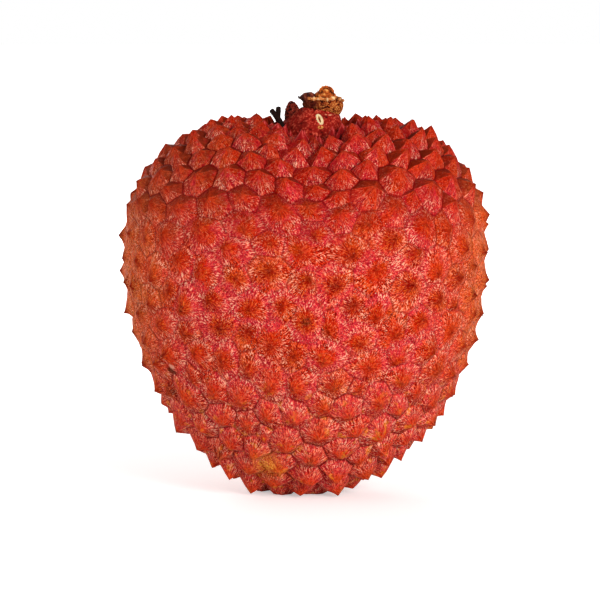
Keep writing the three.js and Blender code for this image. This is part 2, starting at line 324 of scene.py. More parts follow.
class GeometryGraph(Graph):
    """Geometry tree with named inputs, run once on a mesh."""

    def __init__(self, name: str) -> None:
        """Starts an empty tree with one geometry input and output.

        Args:
            name: Name of the tree.
        """
        super().__init__(bpy.data.node_groups.new(name, "GeometryNodeTree"))
        self.tree.interface.new_socket("Geometry", in_out="INPUT", socket_type="NodeSocketGeometry")
        self.tree.interface.new_socket("Geometry", in_out="OUTPUT", socket_type="NodeSocketGeometry")
        self.entry = self.tree.nodes.new("NodeGroupInput")
        self.values: dict[str, object] = {}

    @property
    def geometry(self) -> bpy.types.NodeSocket:
        """The geometry that comes in."""
        return self.entry.outputs["Geometry"]

    def take(self, name: str, value: object) -> Field:
        """Declares a named input and its value.

        Args:
            name: Name of the input, as a person would read it.
            value: Number, whole number or material.

        Returns:
            The input as a field.
        """
        kinds = {
            float: "NodeSocketFloat",
            int: "NodeSocketInt",
            bpy.types.Material: "NodeSocketMaterial",
        }
        socket = self.tree.interface.new_socket(name, in_out="INPUT", socket_type=kinds[type(value)])
        self.values[socket.identifier] = value
        return Field(self, self.entry.outputs[name])

    def named(self, name: str, kind: str = "FLOAT_VECTOR") -> Field:
        """Named attribute of the geometry."""
        node = self.add("GeometryNodeInputNamedAttribute", {"Name": name}, data_type=kind)
        return self.out(node, "Attribute")

    def store(
        self, mesh: bpy.types.NodeSocket, name: str, value: Operand, kind: str, domain: str
    ) -> bpy.types.NodeSocket:
        """Writes a field into a named attribute.

        Args:
            mesh: Geometry to write on.
            name: Name of the attribute.
            value: Field to write.
            kind: Blender's name of the data type.
            domain: Blender's name of the domain.

        Returns:
            The geometry with the attribute.
        """
        inputs = {"Geometry": mesh, "Name": name, "Value": value}
        node = self.add("GeometryNodeStoreNamedAttribute", inputs, data_type=kind, domain=domain)
        return node.outputs["Geometry"]

    def place(self, mesh: bpy.types.NodeSocket, position: Field) -> bpy.types.NodeSocket:
        """Moves every point to a position."""
        return self.add("GeometryNodeSetPosition", {"Geometry": mesh, "Position": position}).outputs[0]

    def finish(self, mesh: bpy.types.NodeSocket, material: Field) -> None:
        """Ends the tree with real, smooth geometry that wears its material.

        Args:
            mesh: Geometry to hand over.
            material: Material of the piece.
        """
        smooth = self.add("GeometryNodeSetShadeSmooth", {"Geometry": mesh, "Shade Smooth": True})
        real = self.add("GeometryNodeRealizeInstances", {"Geometry": smooth.outputs[0]}).outputs[0]
        dressed = self.add("GeometryNodeSetMaterial", {"Geometry": real, "Material": material})
        leave = self.tree.nodes.new("NodeGroupOutput")
        self.tree.links.new(dressed.outputs[0], leave.inputs["Geometry"])

    def run(self, name: str, start: bpy.types.Mesh) -> bpy.types.Object:
        """Evaluates the tree on a mesh.

        Args:
            name: Name of the finished piece.
            start: Mesh that goes in.

        Returns:
            A plain mesh object with no modifier, at the origin.
        """
        source = bpy.data.objects.new(name + "_source", start)
        bpy.context.collection.objects.link(source)
        modifier = source.modifiers.new(name, "NODES")
        modifier.node_group = self.tree
        for identifier, value in self.values.items():
            modifier[identifier] = value
        evaluated = source.evaluated_get(bpy.context.evaluated_depsgraph_get())
        mesh = bpy.data.meshes.new_from_object(evaluated)
        mesh.name = name
        bpy.data.objects.remove(source)
        piece = bpy.data.objects.new(name, mesh)
        bpy.context.collection.objects.link(piece)
        return piece


# ---------------------------------------------------------------- colours and finishes


def linear(red: Number, green: Number, blue: Number) -> tuple[float, float, float, float]:
    """Linear colour for a socket.

    Args:
        red: Red as usually written, from 0 to 255.
        green: Green, likewise.
        blue: Blue, likewise.

    Returns:
        The four parts that a colour socket takes.
    """

    def one(value: Number) -> float:
        """One channel."""
        share = value / 255
        return share / 12.92 if share <= 0.04045 else ((share + 0.055) / 1.055) ** 2.4

    return (one(red), one(green), one(blue), 1.0)


class ShaderGraph(Graph):
    """Shader tree of one material."""

    def __init__(self, name: str) -> None:
        """Starts a material with one plain surface shader.

        Args:
            name: Name of the material.
        """
        self.material = bpy.data.materials.new(name)
        self.material.use_nodes = True
        super().__init__(self.material.node_tree)
        self.surface = self.tree.nodes["Principled BSDF"]

    def place_mm(self) -> Field:
        """Place on the piece, in millimetres."""
        return self.out(self.add("ShaderNodeTexCoord"), "Object") * (1 / MM)

    def attribute(self, name: str) -> Field:
        """Vector attribute of the mesh."""
        node = self.add("ShaderNodeAttribute", attribute_name=name)
        return self.out(node, "Vector")

    def share(self, name: str) -> Field:
        """Number attribute of the mesh."""
        return self.out(self.add("ShaderNodeAttribute", attribute_name=name), "Fac")

    def flat_map(self, name: str) -> Field:
        """UV map of the mesh."""
        return self.out(self.add("ShaderNodeUVMap", uv_map=name))

    def blend(self, share: Operand, low: Operand, high: Operand) -> Field:
        """Blend of two colours by a share from 0 to 1."""
        node = self.add("ShaderNodeMix", {0: share, 6: low, 7: high}, data_type="RGBA")
        return self.out(node, 2)

    def bump(self, height: Operand, depth_mm: Number) -> Field:
        """Normal for a height from 0 to 1 over a depth in millimetres."""
        inputs = {"Height": height, "Distance": depth_mm * MM, "Strength": 1.0}
        return self.out(self.add("ShaderNodeBump", inputs))

    def close(
        self, colour: Operand, roughness: Operand, normal: Field | None = None
    ) -> bpy.types.Material:
        """Feeds the surface shader.

        Args:
            colour: Base colour.
            roughness: Roughness, from 0 to 1.
            normal: Normal with the bump, if there is one.

        Returns:
            The finished material.
        """
        self.feed(self.surface.inputs["Base Color"], colour)
        self.feed(self.surface.inputs["Roughness"], roughness)
        if normal is not None:
            self.feed(self.surface.inputs["Normal"], normal)
        return self.material


# ---------------------------------------------------------------- the frame's boxes


@dataclass(frozen=True)
class Box:
    """Box of a CAD node at rest, in millimetres."""

    low: np.ndarray
    high: np.ndarray

    @classmethod
    def of(cls, node: Node) -> "Box":
        """Box of a piece of the CAD model."""
        low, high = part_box(node.value)
        return cls(np.array(low) / MM, np.array(high) / MM)

    @property
    def size(self) -> np.ndarray:
        """Width, depth and height."""
        return self.high - self.low

    @property
    def middle(self) -> np.ndarray:
        """Middle of the box."""
        return (self.high + self.low) / 2

    def at(self, x: float, y: float, z: float) -> np.ndarray:
        """Point at shares of the box from its low corner, 0 to 1 each way."""
        return self.low + self.size * np.array([x, y, z])


# ---------------------------------------------------------------- fruit: form and cells


@dataclass(frozen=True)
class HeartForm:
    """Smooth heart shape of the fruit, without its tubercles.

    A squared crown stands over an elliptical taper. A round dip and a furrow from front to back are
    taken from the crown around the stalk.
    """

    half_width: float
    half_depth: float
    widest_height: float
    taper_drop: float
    crown_rise: float
    stalk_x: float
    crown_exponent: float = 2.5
    taper_exponent: float = 1.9
    dip_depth: float = 1.7
    dip_radius: float = 5.2
    furrow_depth: float = 2.0
    furrow_half_width: float = 3.6
    shoulder_lean: float = 0.1
    unevenness: float = 0.16

    @classmethod
    def inside(cls, fruit: Box, stalk: Box) -> "HeartForm":
        """Form that fits in the boxes of the CAD fruit and its stalk.

        Args:
            fruit: Box of the fruit with its tubercles.
            stalk: Box of the stalk stub.

        Returns:
            The form, with room left for the tubercles.
        """
        width, depth, height = fruit.size
        return cls(
            half_width=0.4851 * width,
            half_depth=0.4813 * depth,
            widest_height=0.6193 * height,
            taper_drop=0.613 * height,
            crown_rise=0.3827 * height,
            stalk_x=float(stalk.middle[0]),
        )

    def plain(self, directions: np.ndarray) -> np.ndarray:
        """Points of the form before the dip, about the middle of its widest level.

        Args:
            directions: Unit vectors, one per row.

        Returns:
            One point per direction.
        """
        on_crown = directions[:, 2] > 0
        exponent = np.where(on_crown, self.crown_exponent, self.taper_exponent)
        across = np.hypot(directions[:, 0] / self.half_width, directions[:, 1] / self.half_depth)
        along = np.abs(directions[:, 2]) / np.where(on_crown, self.crown_rise, self.taper_drop)
        reach = (across**exponent + along**exponent) ** (-1 / exponent)
        return directions * reach[:, None]

    def crown_share(self, level: np.ndarray) -> np.ndarray:
        """How far heights over the widest level are up in the crown, from 0 to 1."""
        return smooth_share(level / self.crown_rise, 0.0, 1.0)

    def crown_height(self, x: float, y: float) -> float:
        """Height of the finished form over a place on the crown, without its slow swelling.

        Args:
            x: Place from left to right.
            y: Place from front to back.

        Returns:
            The height over the flat spot.
        """
        across = math.hypot(x / self.half_width, y / self.half_depth)
        level = self.crown_rise * (1 - across**self.crown_exponent) ** (1 / self.crown_exponent)
        aside = x - self.stalk_x
        dip = self.dip_depth * math.exp(-((math.hypot(aside, y) / self.dip_radius) ** 2))
        furrow = self.furrow_depth * math.exp(-((aside / self.furrow_half_width) ** 2))
        crown = float(self.crown_share(np.array(level)))
        lean = self.shoulder_lean * x / self.half_width
        return self.widest_height + level + crown * (lean - dip - furrow)

    def foot_share(self, g: Graph, level: Field) -> Field:
        """How far heights over the widest level are down at the foot, from 0 to 1."""
        return g.smoothstep(-level, 0.76 * self.taper_drop, 0.92 * self.taper_drop)

    def formula(self, g: Graph, direction: Field) -> Field:
        """Finished form as a formula of a node tree.

        Args:
            g: Tree that receives the formula.
            direction: Unit vector from the middle of the widest level.

        Returns:
            The point in that direction, in the part's frame, in millimetres.
        """
        x, y, z = direction.parts
        on_crown = g.math("GREATER_THAN", z, 0.0)
        exponent = g.mix(on_crown, self.taper_exponent, self.crown_exponent)
        across = g.length(g.combine(x / self.half_width, y / self.half_depth, 0.0))
        along = g.math("ABSOLUTE", z) / g.mix(on_crown, self.taper_drop, self.crown_rise)
        reach = (across**exponent + along**exponent) ** (-1.0 / exponent)
        px, py, pz = (direction * reach).parts
        crown = g.smoothstep(pz, 0.0, self.crown_rise)
        aside = px - self.stalk_x
        dip = self.dip_depth * g.bell(g.length(g.combine(aside, py, 0.0)), self.dip_radius)
        furrow = self.furrow_depth * g.bell(aside, self.furrow_half_width)
        lean = px * (self.shoulder_lean / self.half_width)
        wave = g.math("SINE", 0.21 * px + 0.4) * g.math("COSINE", 0.17 * pz - 0.19 * py)
        lift = g.combine(0.0, 0.0, self.widest_height + crown * (lean - dip - furrow))
        return direction * (reach + self.unevenness * wave) + lift


def smooth_share(value: np.ndarray, start: float, end: float) -> np.ndarray:
    """Smooth step of numbers, from 0 at the start to 1 at the end."""
    share = np.clip((value - start) / (end - start), 0, 1)
    return share * share * (3 - 2 * share)


def random_source(seed: int) -> Iterator[float]:
    """Repeatable random numbers from 0 to 1.

    Args:
        seed: Whole number that starts the row.

    Yields:
        The next number.
    """
    state = seed
    while True:
        state = (state * 16807) % 2147483647
        yield state / 2147483647


@dataclass(frozen=True)
class CellNet:
    """Cells of the skin, one tubercle each.

    They are wide on the body, smaller on the crown and smallest by the stalk. Spacings and reaches are
    in millimetres; the crowding shares pull the first spiral towards the stalk and the foot.
    """

    form: HeartForm
    count: int = 500
    seed: int = 1846
    spacing_body: float = 3.6
    spacing_crown: float = 2.5
    spacing_taper: float = 3.2
    spacing_by_stalk: float = 1.3
    spacing_spread: float = 0.18
    stalk_reach: float = 8.0
    stalk_crowding: float = 0.62
    crowding_reach: float = 1.0
    taper_crowding: float = 0.12
    scatter: float = 2.2
    rounds: int = 30
    reach: float = 1.35
    step: float = 0.2

    def directions(self) -> np.ndarray:
        """Directions of the tubercles: a spiral thrown about, then settled by pushing apart.

        Returns:
            Unit vectors, one per row.
        """
        chance = random_source(self.seed)
        throw = self.scatter * math.sqrt(4 * math.pi / self.count)
        rows, sizes = [], []
        for i in range(self.count):
            even = 1 - (2 * i + 1) / self.count
            polar = math.acos(even - self.taper_crowding * (1 - even * even))
            polar *= 1 - self.stalk_crowding * math.exp(-((polar / self.crowding_reach) ** 2))
            turn = i * math.pi * (3 - math.sqrt(5))
            ring = math.sin(polar)
            place = np.array([ring * math.cos(turn), ring * math.sin(turn), math.cos(polar)])
            rows.append(place + throw * (np.array([next(chance), next(chance), next(chance)]) - 0.5))
            sizes.append(1 + self.spacing_spread * (2 * next(chance) - 1))
        spread = np.array(rows)
        spread /= np.linalg.norm(spread, axis=1, keepdims=True)
        for _ in range(self.rounds):
            spread = self._settle(spread, np.array(sizes))
        return spread

    def _spacing(self, points: np.ndarray) -> np.ndarray:
        """Distance between neighbouring tubercles.

        Args:
            points: Points of the plain form.

        Returns:
            The distance around each point.
        """
        level = points[:, 2]
        crown = smooth_share(level / self.form.crown_rise, 0.1, 0.8)
        low = smooth_share(-level / self.form.taper_drop, 0.3, 0.8)
        near = np.exp(-((np.hypot(points[:, 0], points[:, 1]) / self.stalk_reach) ** 2))
        spacing = self.spacing_body + (self.spacing_crown - self.spacing_body) * crown
        spacing += (self.spacing_taper - spacing) * low
        return spacing + (self.spacing_by_stalk - spacing) * near * self.form.crown_share(level)

    def _settle(self, directions: np.ndarray, sizes: np.ndarray) -> np.ndarray:
        """One round of neighbours pushing each other apart on the plain form.

        Args:
            directions: Directions of the tubercles.
            sizes: Size of each cell as a share of the common size around it.

        Returns:
            The directions after the round.
        """
        points = self.form.plain(directions)
        spacing = self._spacing(points) * sizes
        apart = points[:, None, :] - points[None, :, :]
        distance = np.linalg.norm(apart, axis=2)
        np.fill_diagonal(distance, np.inf)
        reach = self.reach * 0.5 * (spacing[:, None] + spacing[None, :])
        share = self.step * np.clip(reach - distance, 0, None) / distance
        moved = points + (apart * share[:, :, None]).sum(axis=1)
        return moved / np.linalg.norm(moved, axis=1, keepdims=True)

    def fans(self) -> dict[str, np.ndarray]:
        """Wedges of the cells, each from a tubercle's tip to one side of its cell.

        Returns:
            Arrays by name, one row per wedge: directions tip, left and right, and the cell's number.
        """
        tips = self.directions()
        hull = bmesh.new()
        for direction in tips:
            hull.verts.new(direction)
        bmesh.ops.convex_hull(hull, input=hull.verts)
        hull.verts.index_update()
        corner_after: list[dict[int, tuple[int, int]]] = [{} for _ in tips]
        corners = []
        for face in hull.faces:
            a, b, c = (vert.index for vert in face.verts)
            if np.cross(tips[b] - tips[a], tips[c] - tips[a]) @ tips[a] < 0:
                b, c = c, b
            for here, start, end in ((a, b, c), (b, c, a), (c, a, b)):
                corner_after[here][start] = (len(corners), end)
            middle = tips[a] + tips[b] + tips[c]
            corners.append(middle / np.linalg.norm(middle))
        hull.free()
        rows = []
        for cell, steps in enumerate(corner_after):
            for corner, end in steps.values():
                rows.append((cell, corner, steps[end][0]))
        cells, left, right = np.array(rows).T
        sides = np.array(corners)
        return {"tip": tips[cells], "left": sides[left], "right": sides[right], "cell": cells}


@dataclass(frozen=True)
class ReliefSizes:
    """Sizes of the tubercles by region, in millimetres.

    The crown's tips grow from left to right between the two shoulder places.
    """

    tip_body: float = 0.62
    tip_left_shoulder: float = 0.7
    tip_right_shoulder: float = 1.25
    left_shoulder: float = -11.0
    right_shoulder: float = 5.0
    tip_taper: float = 0.85
    tip_foot: float = 1.2
    tip_spread: float = 0.35
    lean_crown: float = 0.7
    lean_by_stalk: float = 0.25
    lean_taper: float = 0.75
    lean_foot: float = 1.2
    tip_wander: float = 0.9
    groove_body: float = 0.1
    groove_crown: float = 0.2
    groove_taper: float = 0.13
    hollow_body: float = 0.03
    hollow_crown: float = 0.1
    hollow_taper: float = 0.03
    border_wobble: float = 0.22
    wrinkle: float = 0.09
    crumple: float = 0.22


@dataclass(frozen=True)
class Skin:
    """Tubercled skin of the fruit, raised over the heart form cell by cell.

    Sectors are the steps along one side of a cell, and rings those from a tip to the border of its
    cell. Points closer than the weld, in millimetres, become one. The map's reach and scale keep its
    squares apart.
    """

    net: CellNet
    sizes: ReliefSizes
    sectors: int = 5
    rings: int = 7
    weld: float = 0.002
    map_reach: float = 1.06
    map_scale: float = 0.46

    @property
    def form(self) -> HeartForm:
        """Smooth form under the tubercles."""
        return self.net.form

    def wedges(self) -> bpy.types.Mesh:
        """Loose points that carry the wedges' directions and chances.

        Returns:
            A mesh with one point per wedge.
        """
        fans = self.net.fans()
        total = len(fans["cell"])
        mesh = bpy.data.meshes.new("wedges")
        mesh.vertices.add(total)
        chances = random_source(self.net.seed + 1)
        by_cell = np.array([[next(chances) for _ in range(3)] for _ in range(self.net.count)])
        rows = {name: fans[name] for name in ("tip", "left", "right")}
        rows["chance"] = by_cell[fans["cell"]]
        rows["facet_chance"] = np.array([[next(chances)] * 3 for _ in range(total)])
        for name, values in rows.items():
            layer = mesh.attributes.new(name, "FLOAT_VECTOR", "POINT")
            layer.data.foreach_set("vector", values.astype(np.float32).ravel())
        return mesh

    def build(self, finish: bpy.types.Material) -> bpy.types.Object:
        """Raises the skin.

        Args:
            finish: Material of the skin.

        Returns:
            The finished piece.
        """
        g = GeometryGraph("tubercled_skin")
        sectors = g.take("Steps along a side", self.sectors + 1)
        rings = g.take("Steps from tip to border", self.rings + 1)
        material = g.take("Finish", finish)
        grid = g.add("GeometryNodeMeshGrid", {"Vertices X": sectors, "Vertices Y": rings})
        x, y, _ = g.out(g.add("GeometryNodeInputPosition")).parts
        shares = g.combine(0.5 - x, y + 0.5, 0.0)
        wedge = g.store(grid.outputs["Mesh"], "share", shares, "FLOAT_VECTOR", "POINT")
        points = g.add("GeometryNodeMeshToPoints", {"Mesh": g.geometry}).outputs[0]
        copies = g.add("GeometryNodeInstanceOnPoints", {"Points": points, "Instance": wedge}).outputs[0]
        mesh = g.add("GeometryNodeRealizeInstances", {"Geometry": copies}).outputs[0]

        across, outward, _ = g.named("share").parts
        outward = g.mix(0.5, outward, g.smoothstep(outward, 0.0, 1.0))
        tip = g.named("tip")
        side = g.mix(across, g.named("left"), g.named("right"))
        straight = g.normalize(g.mix(outward, tip, side))
        wobble = g.noise_vector(straight * 18.0, 1.0) * (self.sizes.border_wobble / 10)
        smooth = self.form.formula(g, g.normalize(straight + wobble))
        mesh = g.place(mesh, smooth)
        mesh = self._store_patterns(g, mesh, tip, outward, across)
        mesh = g.add("GeometryNodeMergeByDistance", {"Geometry": mesh, "Distance": self.weld}).outputs[0]
        mesh = g.place(mesh, self._raised(g))
        scaled = g.out(g.add("GeometryNodeInputPosition")) * MM
        mesh = g.place(mesh, g.vector_math("MAXIMUM", scaled, (-1.0, -1.0, 0.0)))
        g.finish(mesh, material)
        piece = g.run("fruit_skin", self.wedges())
        tidy_layers(piece.data, keep=("tubercle", "facet", "tubercle_plane"))
        self._unfold(piece.data)
        return piece

    def _unfold(self, mesh: bpy.types.Mesh) -> None:
        """Lays the skin out flat in six squares, one for each way it faces, as the map "OFBake".

        Args:
            mesh: Finished mesh of the skin, in metres.
        """
        count = len(mesh.vertices)
        points = np.empty(count * 3)
        mesh.vertices.foreach_get("co", points)
        points = points.reshape(count, 3) / MM - (0.0, 0.0, self.form.widest_height)
        corners = np.empty(len(mesh.loops), dtype=int)
        mesh.loops.foreach_get("vertex_index", corners)
        sides = np.empty(len(mesh.polygons), dtype=int)
        mesh.polygons.foreach_get("loop_total", sides)
        face = np.repeat(np.arange(len(sides)), sides)
        middles = np.stack([np.bincount(face, points[corners, k]) for k in range(3)], axis=1)
        axis = np.argmax(np.abs(middles), axis=1)
        positive = middles[np.arange(len(sides)), axis] > 0
        rows = np.arange(len(corners))
        along = np.abs(points[corners][rows, axis[face]])
        flat = np.stack([points[corners][rows, (axis[face] + k) % 3] / along for k in (1, 2)], axis=1)
        flat = 0.5 + self.map_scale * np.clip(flat, -self.map_reach, self.map_reach)
        places = (flat + np.stack([axis[face], positive[face]], axis=1)) / (3.0, 2.0)
        layer = mesh.uv_layers.new(name="OFBake")
        layer.data.foreach_set("uv", places.astype(np.float32).ravel())

    def _store_patterns(
        self,
        g: GeometryGraph,
        mesh: bpy.types.NodeSocket,
        tip: Field,
        outward: Field,
        across: Field,
    ) -> bpy.types.NodeSocket:
        """Writes what the finish reads: shares and chances, and each cell's own flat map.

        The map runs in millimetres from the tubercle's tip, with its second part uphill. It is kept
        per face corner, because it breaks off where cells meet.

        Args:
            g: Tree of the skin.
            mesh: Geometry with the smooth form.
            tip: Direction of the tubercle.
            outward: Share of the way from the tip to the border.
            across: Share of the way along the side of the cell.

        Returns:
            The geometry with the attributes.
        """
        first, second, _ = g.named("chance").parts
        mesh = g.store(mesh, "outward", outward, "FLOAT", "POINT")
        mesh = g.store(mesh, "tubercle", g.combine(outward, first, second), "FLOAT_VECTOR", "CORNER")
        peak = self.form.formula(g, tip)
        offset = g.out(g.add("GeometryNodeInputPosition")) - peak
        east = g.normalize(g.cross((0.0, 0.0, 1.0), tip))
        uphill = g.cross(tip, east)
        flat = g.combine(g.dot(offset, east), g.dot(offset, uphill), 0.0)
        middle = self.form.formula(g, g.normalize(g.mix(0.5, g.named("left"), g.named("right"))))
        facing = g.dot(g.normalize(middle - peak), uphill)
        ridge = 2.0 * outward * g.math("MINIMUM", across, 1.0 - across)
        facet = g.combine(facing, g.named("facet_chance").parts[0], ridge)
        mesh = g.store(mesh, "facet", facet, "FLOAT_VECTOR", "CORNER")
        dent = 16.0 * across * (1.0 - across) * outward * (1.0 - outward)
        mesh = g.store(mesh, "dent", dent, "FLOAT", "POINT")
        return g.store(mesh, "tubercle_plane", flat, "FLOAT2", "CORNER")

    def _raised(self, g: GeometryGraph) -> Field:
        """Raises the tubercles over the welded smooth form.

        Args:
            g: Tree of the skin.

        Returns:
            Where each point goes, in millimetres.
        """
        sizes = self.sizes
        point = g.out(g.add("GeometryNodeInputPosition"))
        normal = g.out(g.add("GeometryNodeInputNormal"))
        outward = g.named("outward", "FLOAT")
        inward = 1.0 - outward
        first, second, third = g.named("chance").parts
        level = point.parts[2] - self.form.widest_height
        crown = g.smoothstep(level, 0.1 * self.form.crown_rise, 0.8 * self.form.crown_rise)
        low = g.smoothstep(-level, 0.3 * self.form.taper_drop, 0.8 * self.form.taper_drop)
        rightward = g.smoothstep(point.parts[0], sizes.left_shoulder, sizes.right_shoulder)
        on_crown = g.mix(rightward, sizes.tip_left_shoulder, sizes.tip_right_shoulder)

        def by_region(body: Operand, on_crown: Operand, on_taper: Operand) -> Field:
            """Value blended over the fruit."""
            return g.mix(low, g.mix(crown, body, on_crown), on_taper)

        # Shape from tip to border: hats on the body, pyramids on the crown, cobbles on the taper.
        hat = 0.35 * inward + 0.65 * inward**3.2
        pyramid = 0.9 * inward + 0.1 * (1.0 - outward**3.0)
        cobble = 0.4 * (1.0 - outward**2.2) + 0.6 * inward**2.2
        foot = self.form.foot_share(g, level)
        cobble = g.mix(foot, cobble, 0.08 * (1.0 - outward**2.2) + 0.92 * inward)
        on_taper = g.mix(foot, sizes.tip_taper, sizes.tip_foot)
        tall = by_region(sizes.tip_body, on_crown, on_taper)
        spread = 1.0 + sizes.tip_spread * (2.0 * first - 1.0)
        groove = by_region(sizes.groove_body, sizes.groove_crown, sizes.groove_taper)
        rise = tall * spread * by_region(hat, pyramid, cobble)
        rise = rise - groove * g.smoothstep(outward, 0.72, 1.0) ** 1.5
        hollow = by_region(sizes.hollow_body, sizes.hollow_crown, sizes.hollow_taper)
        rise = rise - hollow * g.named("dent", "FLOAT")
        # Fine unevenness, which fades out at the border.
        lumps = g.noise(point, 1.3, 3.0) - 0.5
        rise = rise + sizes.wrinkle * lumps * 2.0 * (1.0 - outward**4)
        creases = g.cells(point, 0.75) - 0.45
        rise = rise - sizes.crumple * creases * (0.35 + 0.15 * crown - 0.2 * foot) * (1.0 - outward**6)
        # Tips lean uphill on the crown and downhill on the taper, and each wanders a little.
        from_axis = g.length(g.combine(point.parts[0], point.parts[1], 0.0))
        near = g.bell(from_axis, self.net.stalk_reach)
        up = (0.0, 0.0, 1.0)
        uphill = up - normal * g.dot(normal, up)
        east = g.normalize(g.cross(up, normal))
        lean_crown = g.mix(near, sizes.lean_crown, sizes.lean_by_stalk)
        lean = uphill * (lean_crown * crown - g.mix(foot, sizes.lean_taper, sizes.lean_foot) * low)
        wander = (east * (second - 0.5) + uphill * (third - 0.5)) * sizes.tip_wander
        wander = wander * (1.0 - 0.5 * g.math("MAXIMUM", crown, low))
        return point + normal * rise + (lean + wander) * inward**1.5


def tidy_layers(mesh: bpy.types.Mesh, keep: tuple[str, ...]) -> None:
    """Removes the attributes that only served to build a mesh.

    Args:
        mesh: Mesh to tidy.
        keep: Names of the attributes that its finish reads.
    """
    built_in = {"position", "sharp_face", "sharp_edge", "material_index"}
    for name in [layer.name for layer in mesh.attributes]:
        if not name.startswith(".") and name not in built_in and name not in keep:
            mesh.attributes.remove(mesh.attributes[name])


def triangles(piece: bpy.types.Object) -> int:
    """Number of triangles of a piece."""
    return sum(len(face.vertices) - 2 for face in piece.data.polygons)


@dataclass(frozen=True)
class SkinTones:
    """Colours of the skin, as usually written, from 0 to 255."""

    flame: Colour = (206, 34, 2)
    rose: Colour = (216, 40, 60)
    amber: Colour = (216, 84, 2)
    flank: Colour = (242, 96, 30)
    left_flank: Colour = (228, 66, 16)
    streak: Colour = (238, 152, 84)
    crown: Colour = (156, 8, 2)
    crown_amber: Colour = (206, 52, 10)
    mauve: Colour = (212, 50, 58)
    underside_shade: Colour = (122, 8, 2)
    scale_tip: Colour = (226, 60, 10)
    pink_facet: Colour = (206, 32, 54)
    shaded_facet: Colour = (120, 12, 4)
    stain: Colour = (236, 140, 30)
    cork: Colour = (168, 78, 34)
    cone: Colour = (198, 34, 2)
    crown_cone: Colour = (190, 38, 8)
    spot: Colour = (132, 2, 0)
    bruise: Colour = (84, 22, 6)
    sunny_stroke: Colour = (240, 120, 34)
    warm_stroke_and_highlight: Colour = (255, 132, 84)
    pale_stroke_and_highlight: Colour = (255, 184, 150)
    dark_stroke_and_shade: Colour = (108, 0, 0)
    light_fleck: Colour = (250, 94, 54)
    dark_fleck: Colour = (110, 2, 0)
    glint: Colour = (255, 226, 196)
    upper_strip: Colour = (100, 24, 6)
    peak: Colour = (128, 40, 10)
    scale_ridge_highlight: Colour = (248, 146, 108)
    crown_ridge_highlight: Colour = (236, 84, 44)
    dry_fleck: Colour = (232, 142, 70)
    flank_tip: Colour = (134, 12, 4)
    groove: Colour = (108, 0, 4)
    gold_ground: Colour = (206, 84, 8)
    gold: Colour = (250, 184, 70)
    nick_rim: Colour = (248, 176, 146)
    nick: Colour = (84, 26, 4)
    shade: Colour = (78, 2, 2)


@dataclass(frozen=True)
class SkinMarks:
    """Places of the two marks on the front, in millimetres: rightward and up from the rest spot."""

    patch_x: float = -3.85
    patch_z: float = 3.7
    nick_x: float = -13.1
    nick_z: float = 13.0


class SkinPatterns:
    """Regions and noises of the skin, as fields of one material.

    Regions run from 0 outside to 1 inside. On a tubercle, outward runs from its tip to the border of
    its cell, and facing from -1 on its lower side to 1 on its upper side.
    """

    def __init__(self, g: ShaderGraph, form: HeartForm, stroke_length: float) -> None:
        """Reads the attributes of the mesh and lays out the noises.

        Args:
            g: Tree of the material.
            form: Smooth form of the fruit.
            stroke_length: How often strokes end along a millimetre.
        """
        self.g = g
        self.stroke_length = stroke_length
        self.place = g.place_mm()
        self.x, self.y, self.z = self.place.parts
        self.level = self.z - form.widest_height
        drift = 3.0 * (g.noise(self.place, 0.35, 2.0) - 0.5)
        self.crown = g.smoothstep(self.level + 1.6 * drift, -1.0, 0.75 * form.crown_rise)
        self.low = g.smoothstep(-self.level + drift, 0.25 * form.taper_drop, 0.75 * form.taper_drop)
        self.foot = form.foot_share(g, self.level)
        self.outward, self.first, self.second = g.attribute("tubercle").parts
        self.facing, self.facet_chance, self.ridge = g.attribute("facet").parts
        self.spokes = self._spokes(self.first)
        self.grain = g.noise(self.place, 6.0, 3.0, 0.8)
        self.pebbles = g.noise(self.place, 3.4, 3.0, 0.8)
        self.mottle = g.noise(self.place, 1.5, 3.0, 0.6)
        self.patches = g.noise(self.place, 0.5, 2.0)
        self.others = g.noise(self.place + (31.0, 17.0, 5.0), 0.45, 2.0)
        self.flank = g.smoothstep(g.math("ABSOLUTE", self.x) + 4.0 * (self.patches - 0.5), 10.0, 19.0)
        self.rose = g.smoothstep(
            self.patches + 0.4 * (self.outward - 0.7) + 0.16 * (self.first - 0.5), 0.42, 0.56
        )
        self.lower = g.smoothstep(-self.facing, 0.0, 0.8) * self.crown
        self.pink = g.smoothstep(self.facet_chance + 0.5 * (self.mottle - 0.5), 0.25, 0.55)

    def _spokes(self, chance: Field) -> Field:
        """Short strokes that point away from a tubercle's tip, about as wide near the tip as far out.

        Args:
            chance: Number from 0 to 1 that differs from tubercle to tubercle.

        Returns:
            Height of the strokes, about 0 to 1.
        """
        g = self.g
        flat = g.flat_map("tubercle_plane")
        radius = g.length(flat)
        spoke_x, spoke_y, _ = (flat / g.math("MAXIMUM", radius, 0.05)).parts
        along = radius * self.stroke_length + chance * 40.0

        def ring(density: float) -> Field:
            """Strokes of one density."""
            return g.noise(g.combine(spoke_x * density, spoke_y * density, along), 1.0, 1.0, 0.5)

        inner = g.mix(g.smoothstep(radius, 0.3, 0.5), ring(4.5), ring(9.0))
        return g.mix(g.smoothstep(radius, 0.75, 1.05), inner, ring(15.5))

    def near_tip(self, ragged: float, start: float, end: float) -> Field:
        """Share that falls from 1 at a tubercle's tip to 0 farther out.

        Args:
            ragged: How far the fall wanders with the mottle.
            start: Outward share where the fall starts.
            end: Outward share where it ends.

        Returns:
            The share.
        """
        wandering = self.outward + ragged * (self.mottle - 0.5)
        return 1.0 - self.g.smoothstep(wandering, start, end)


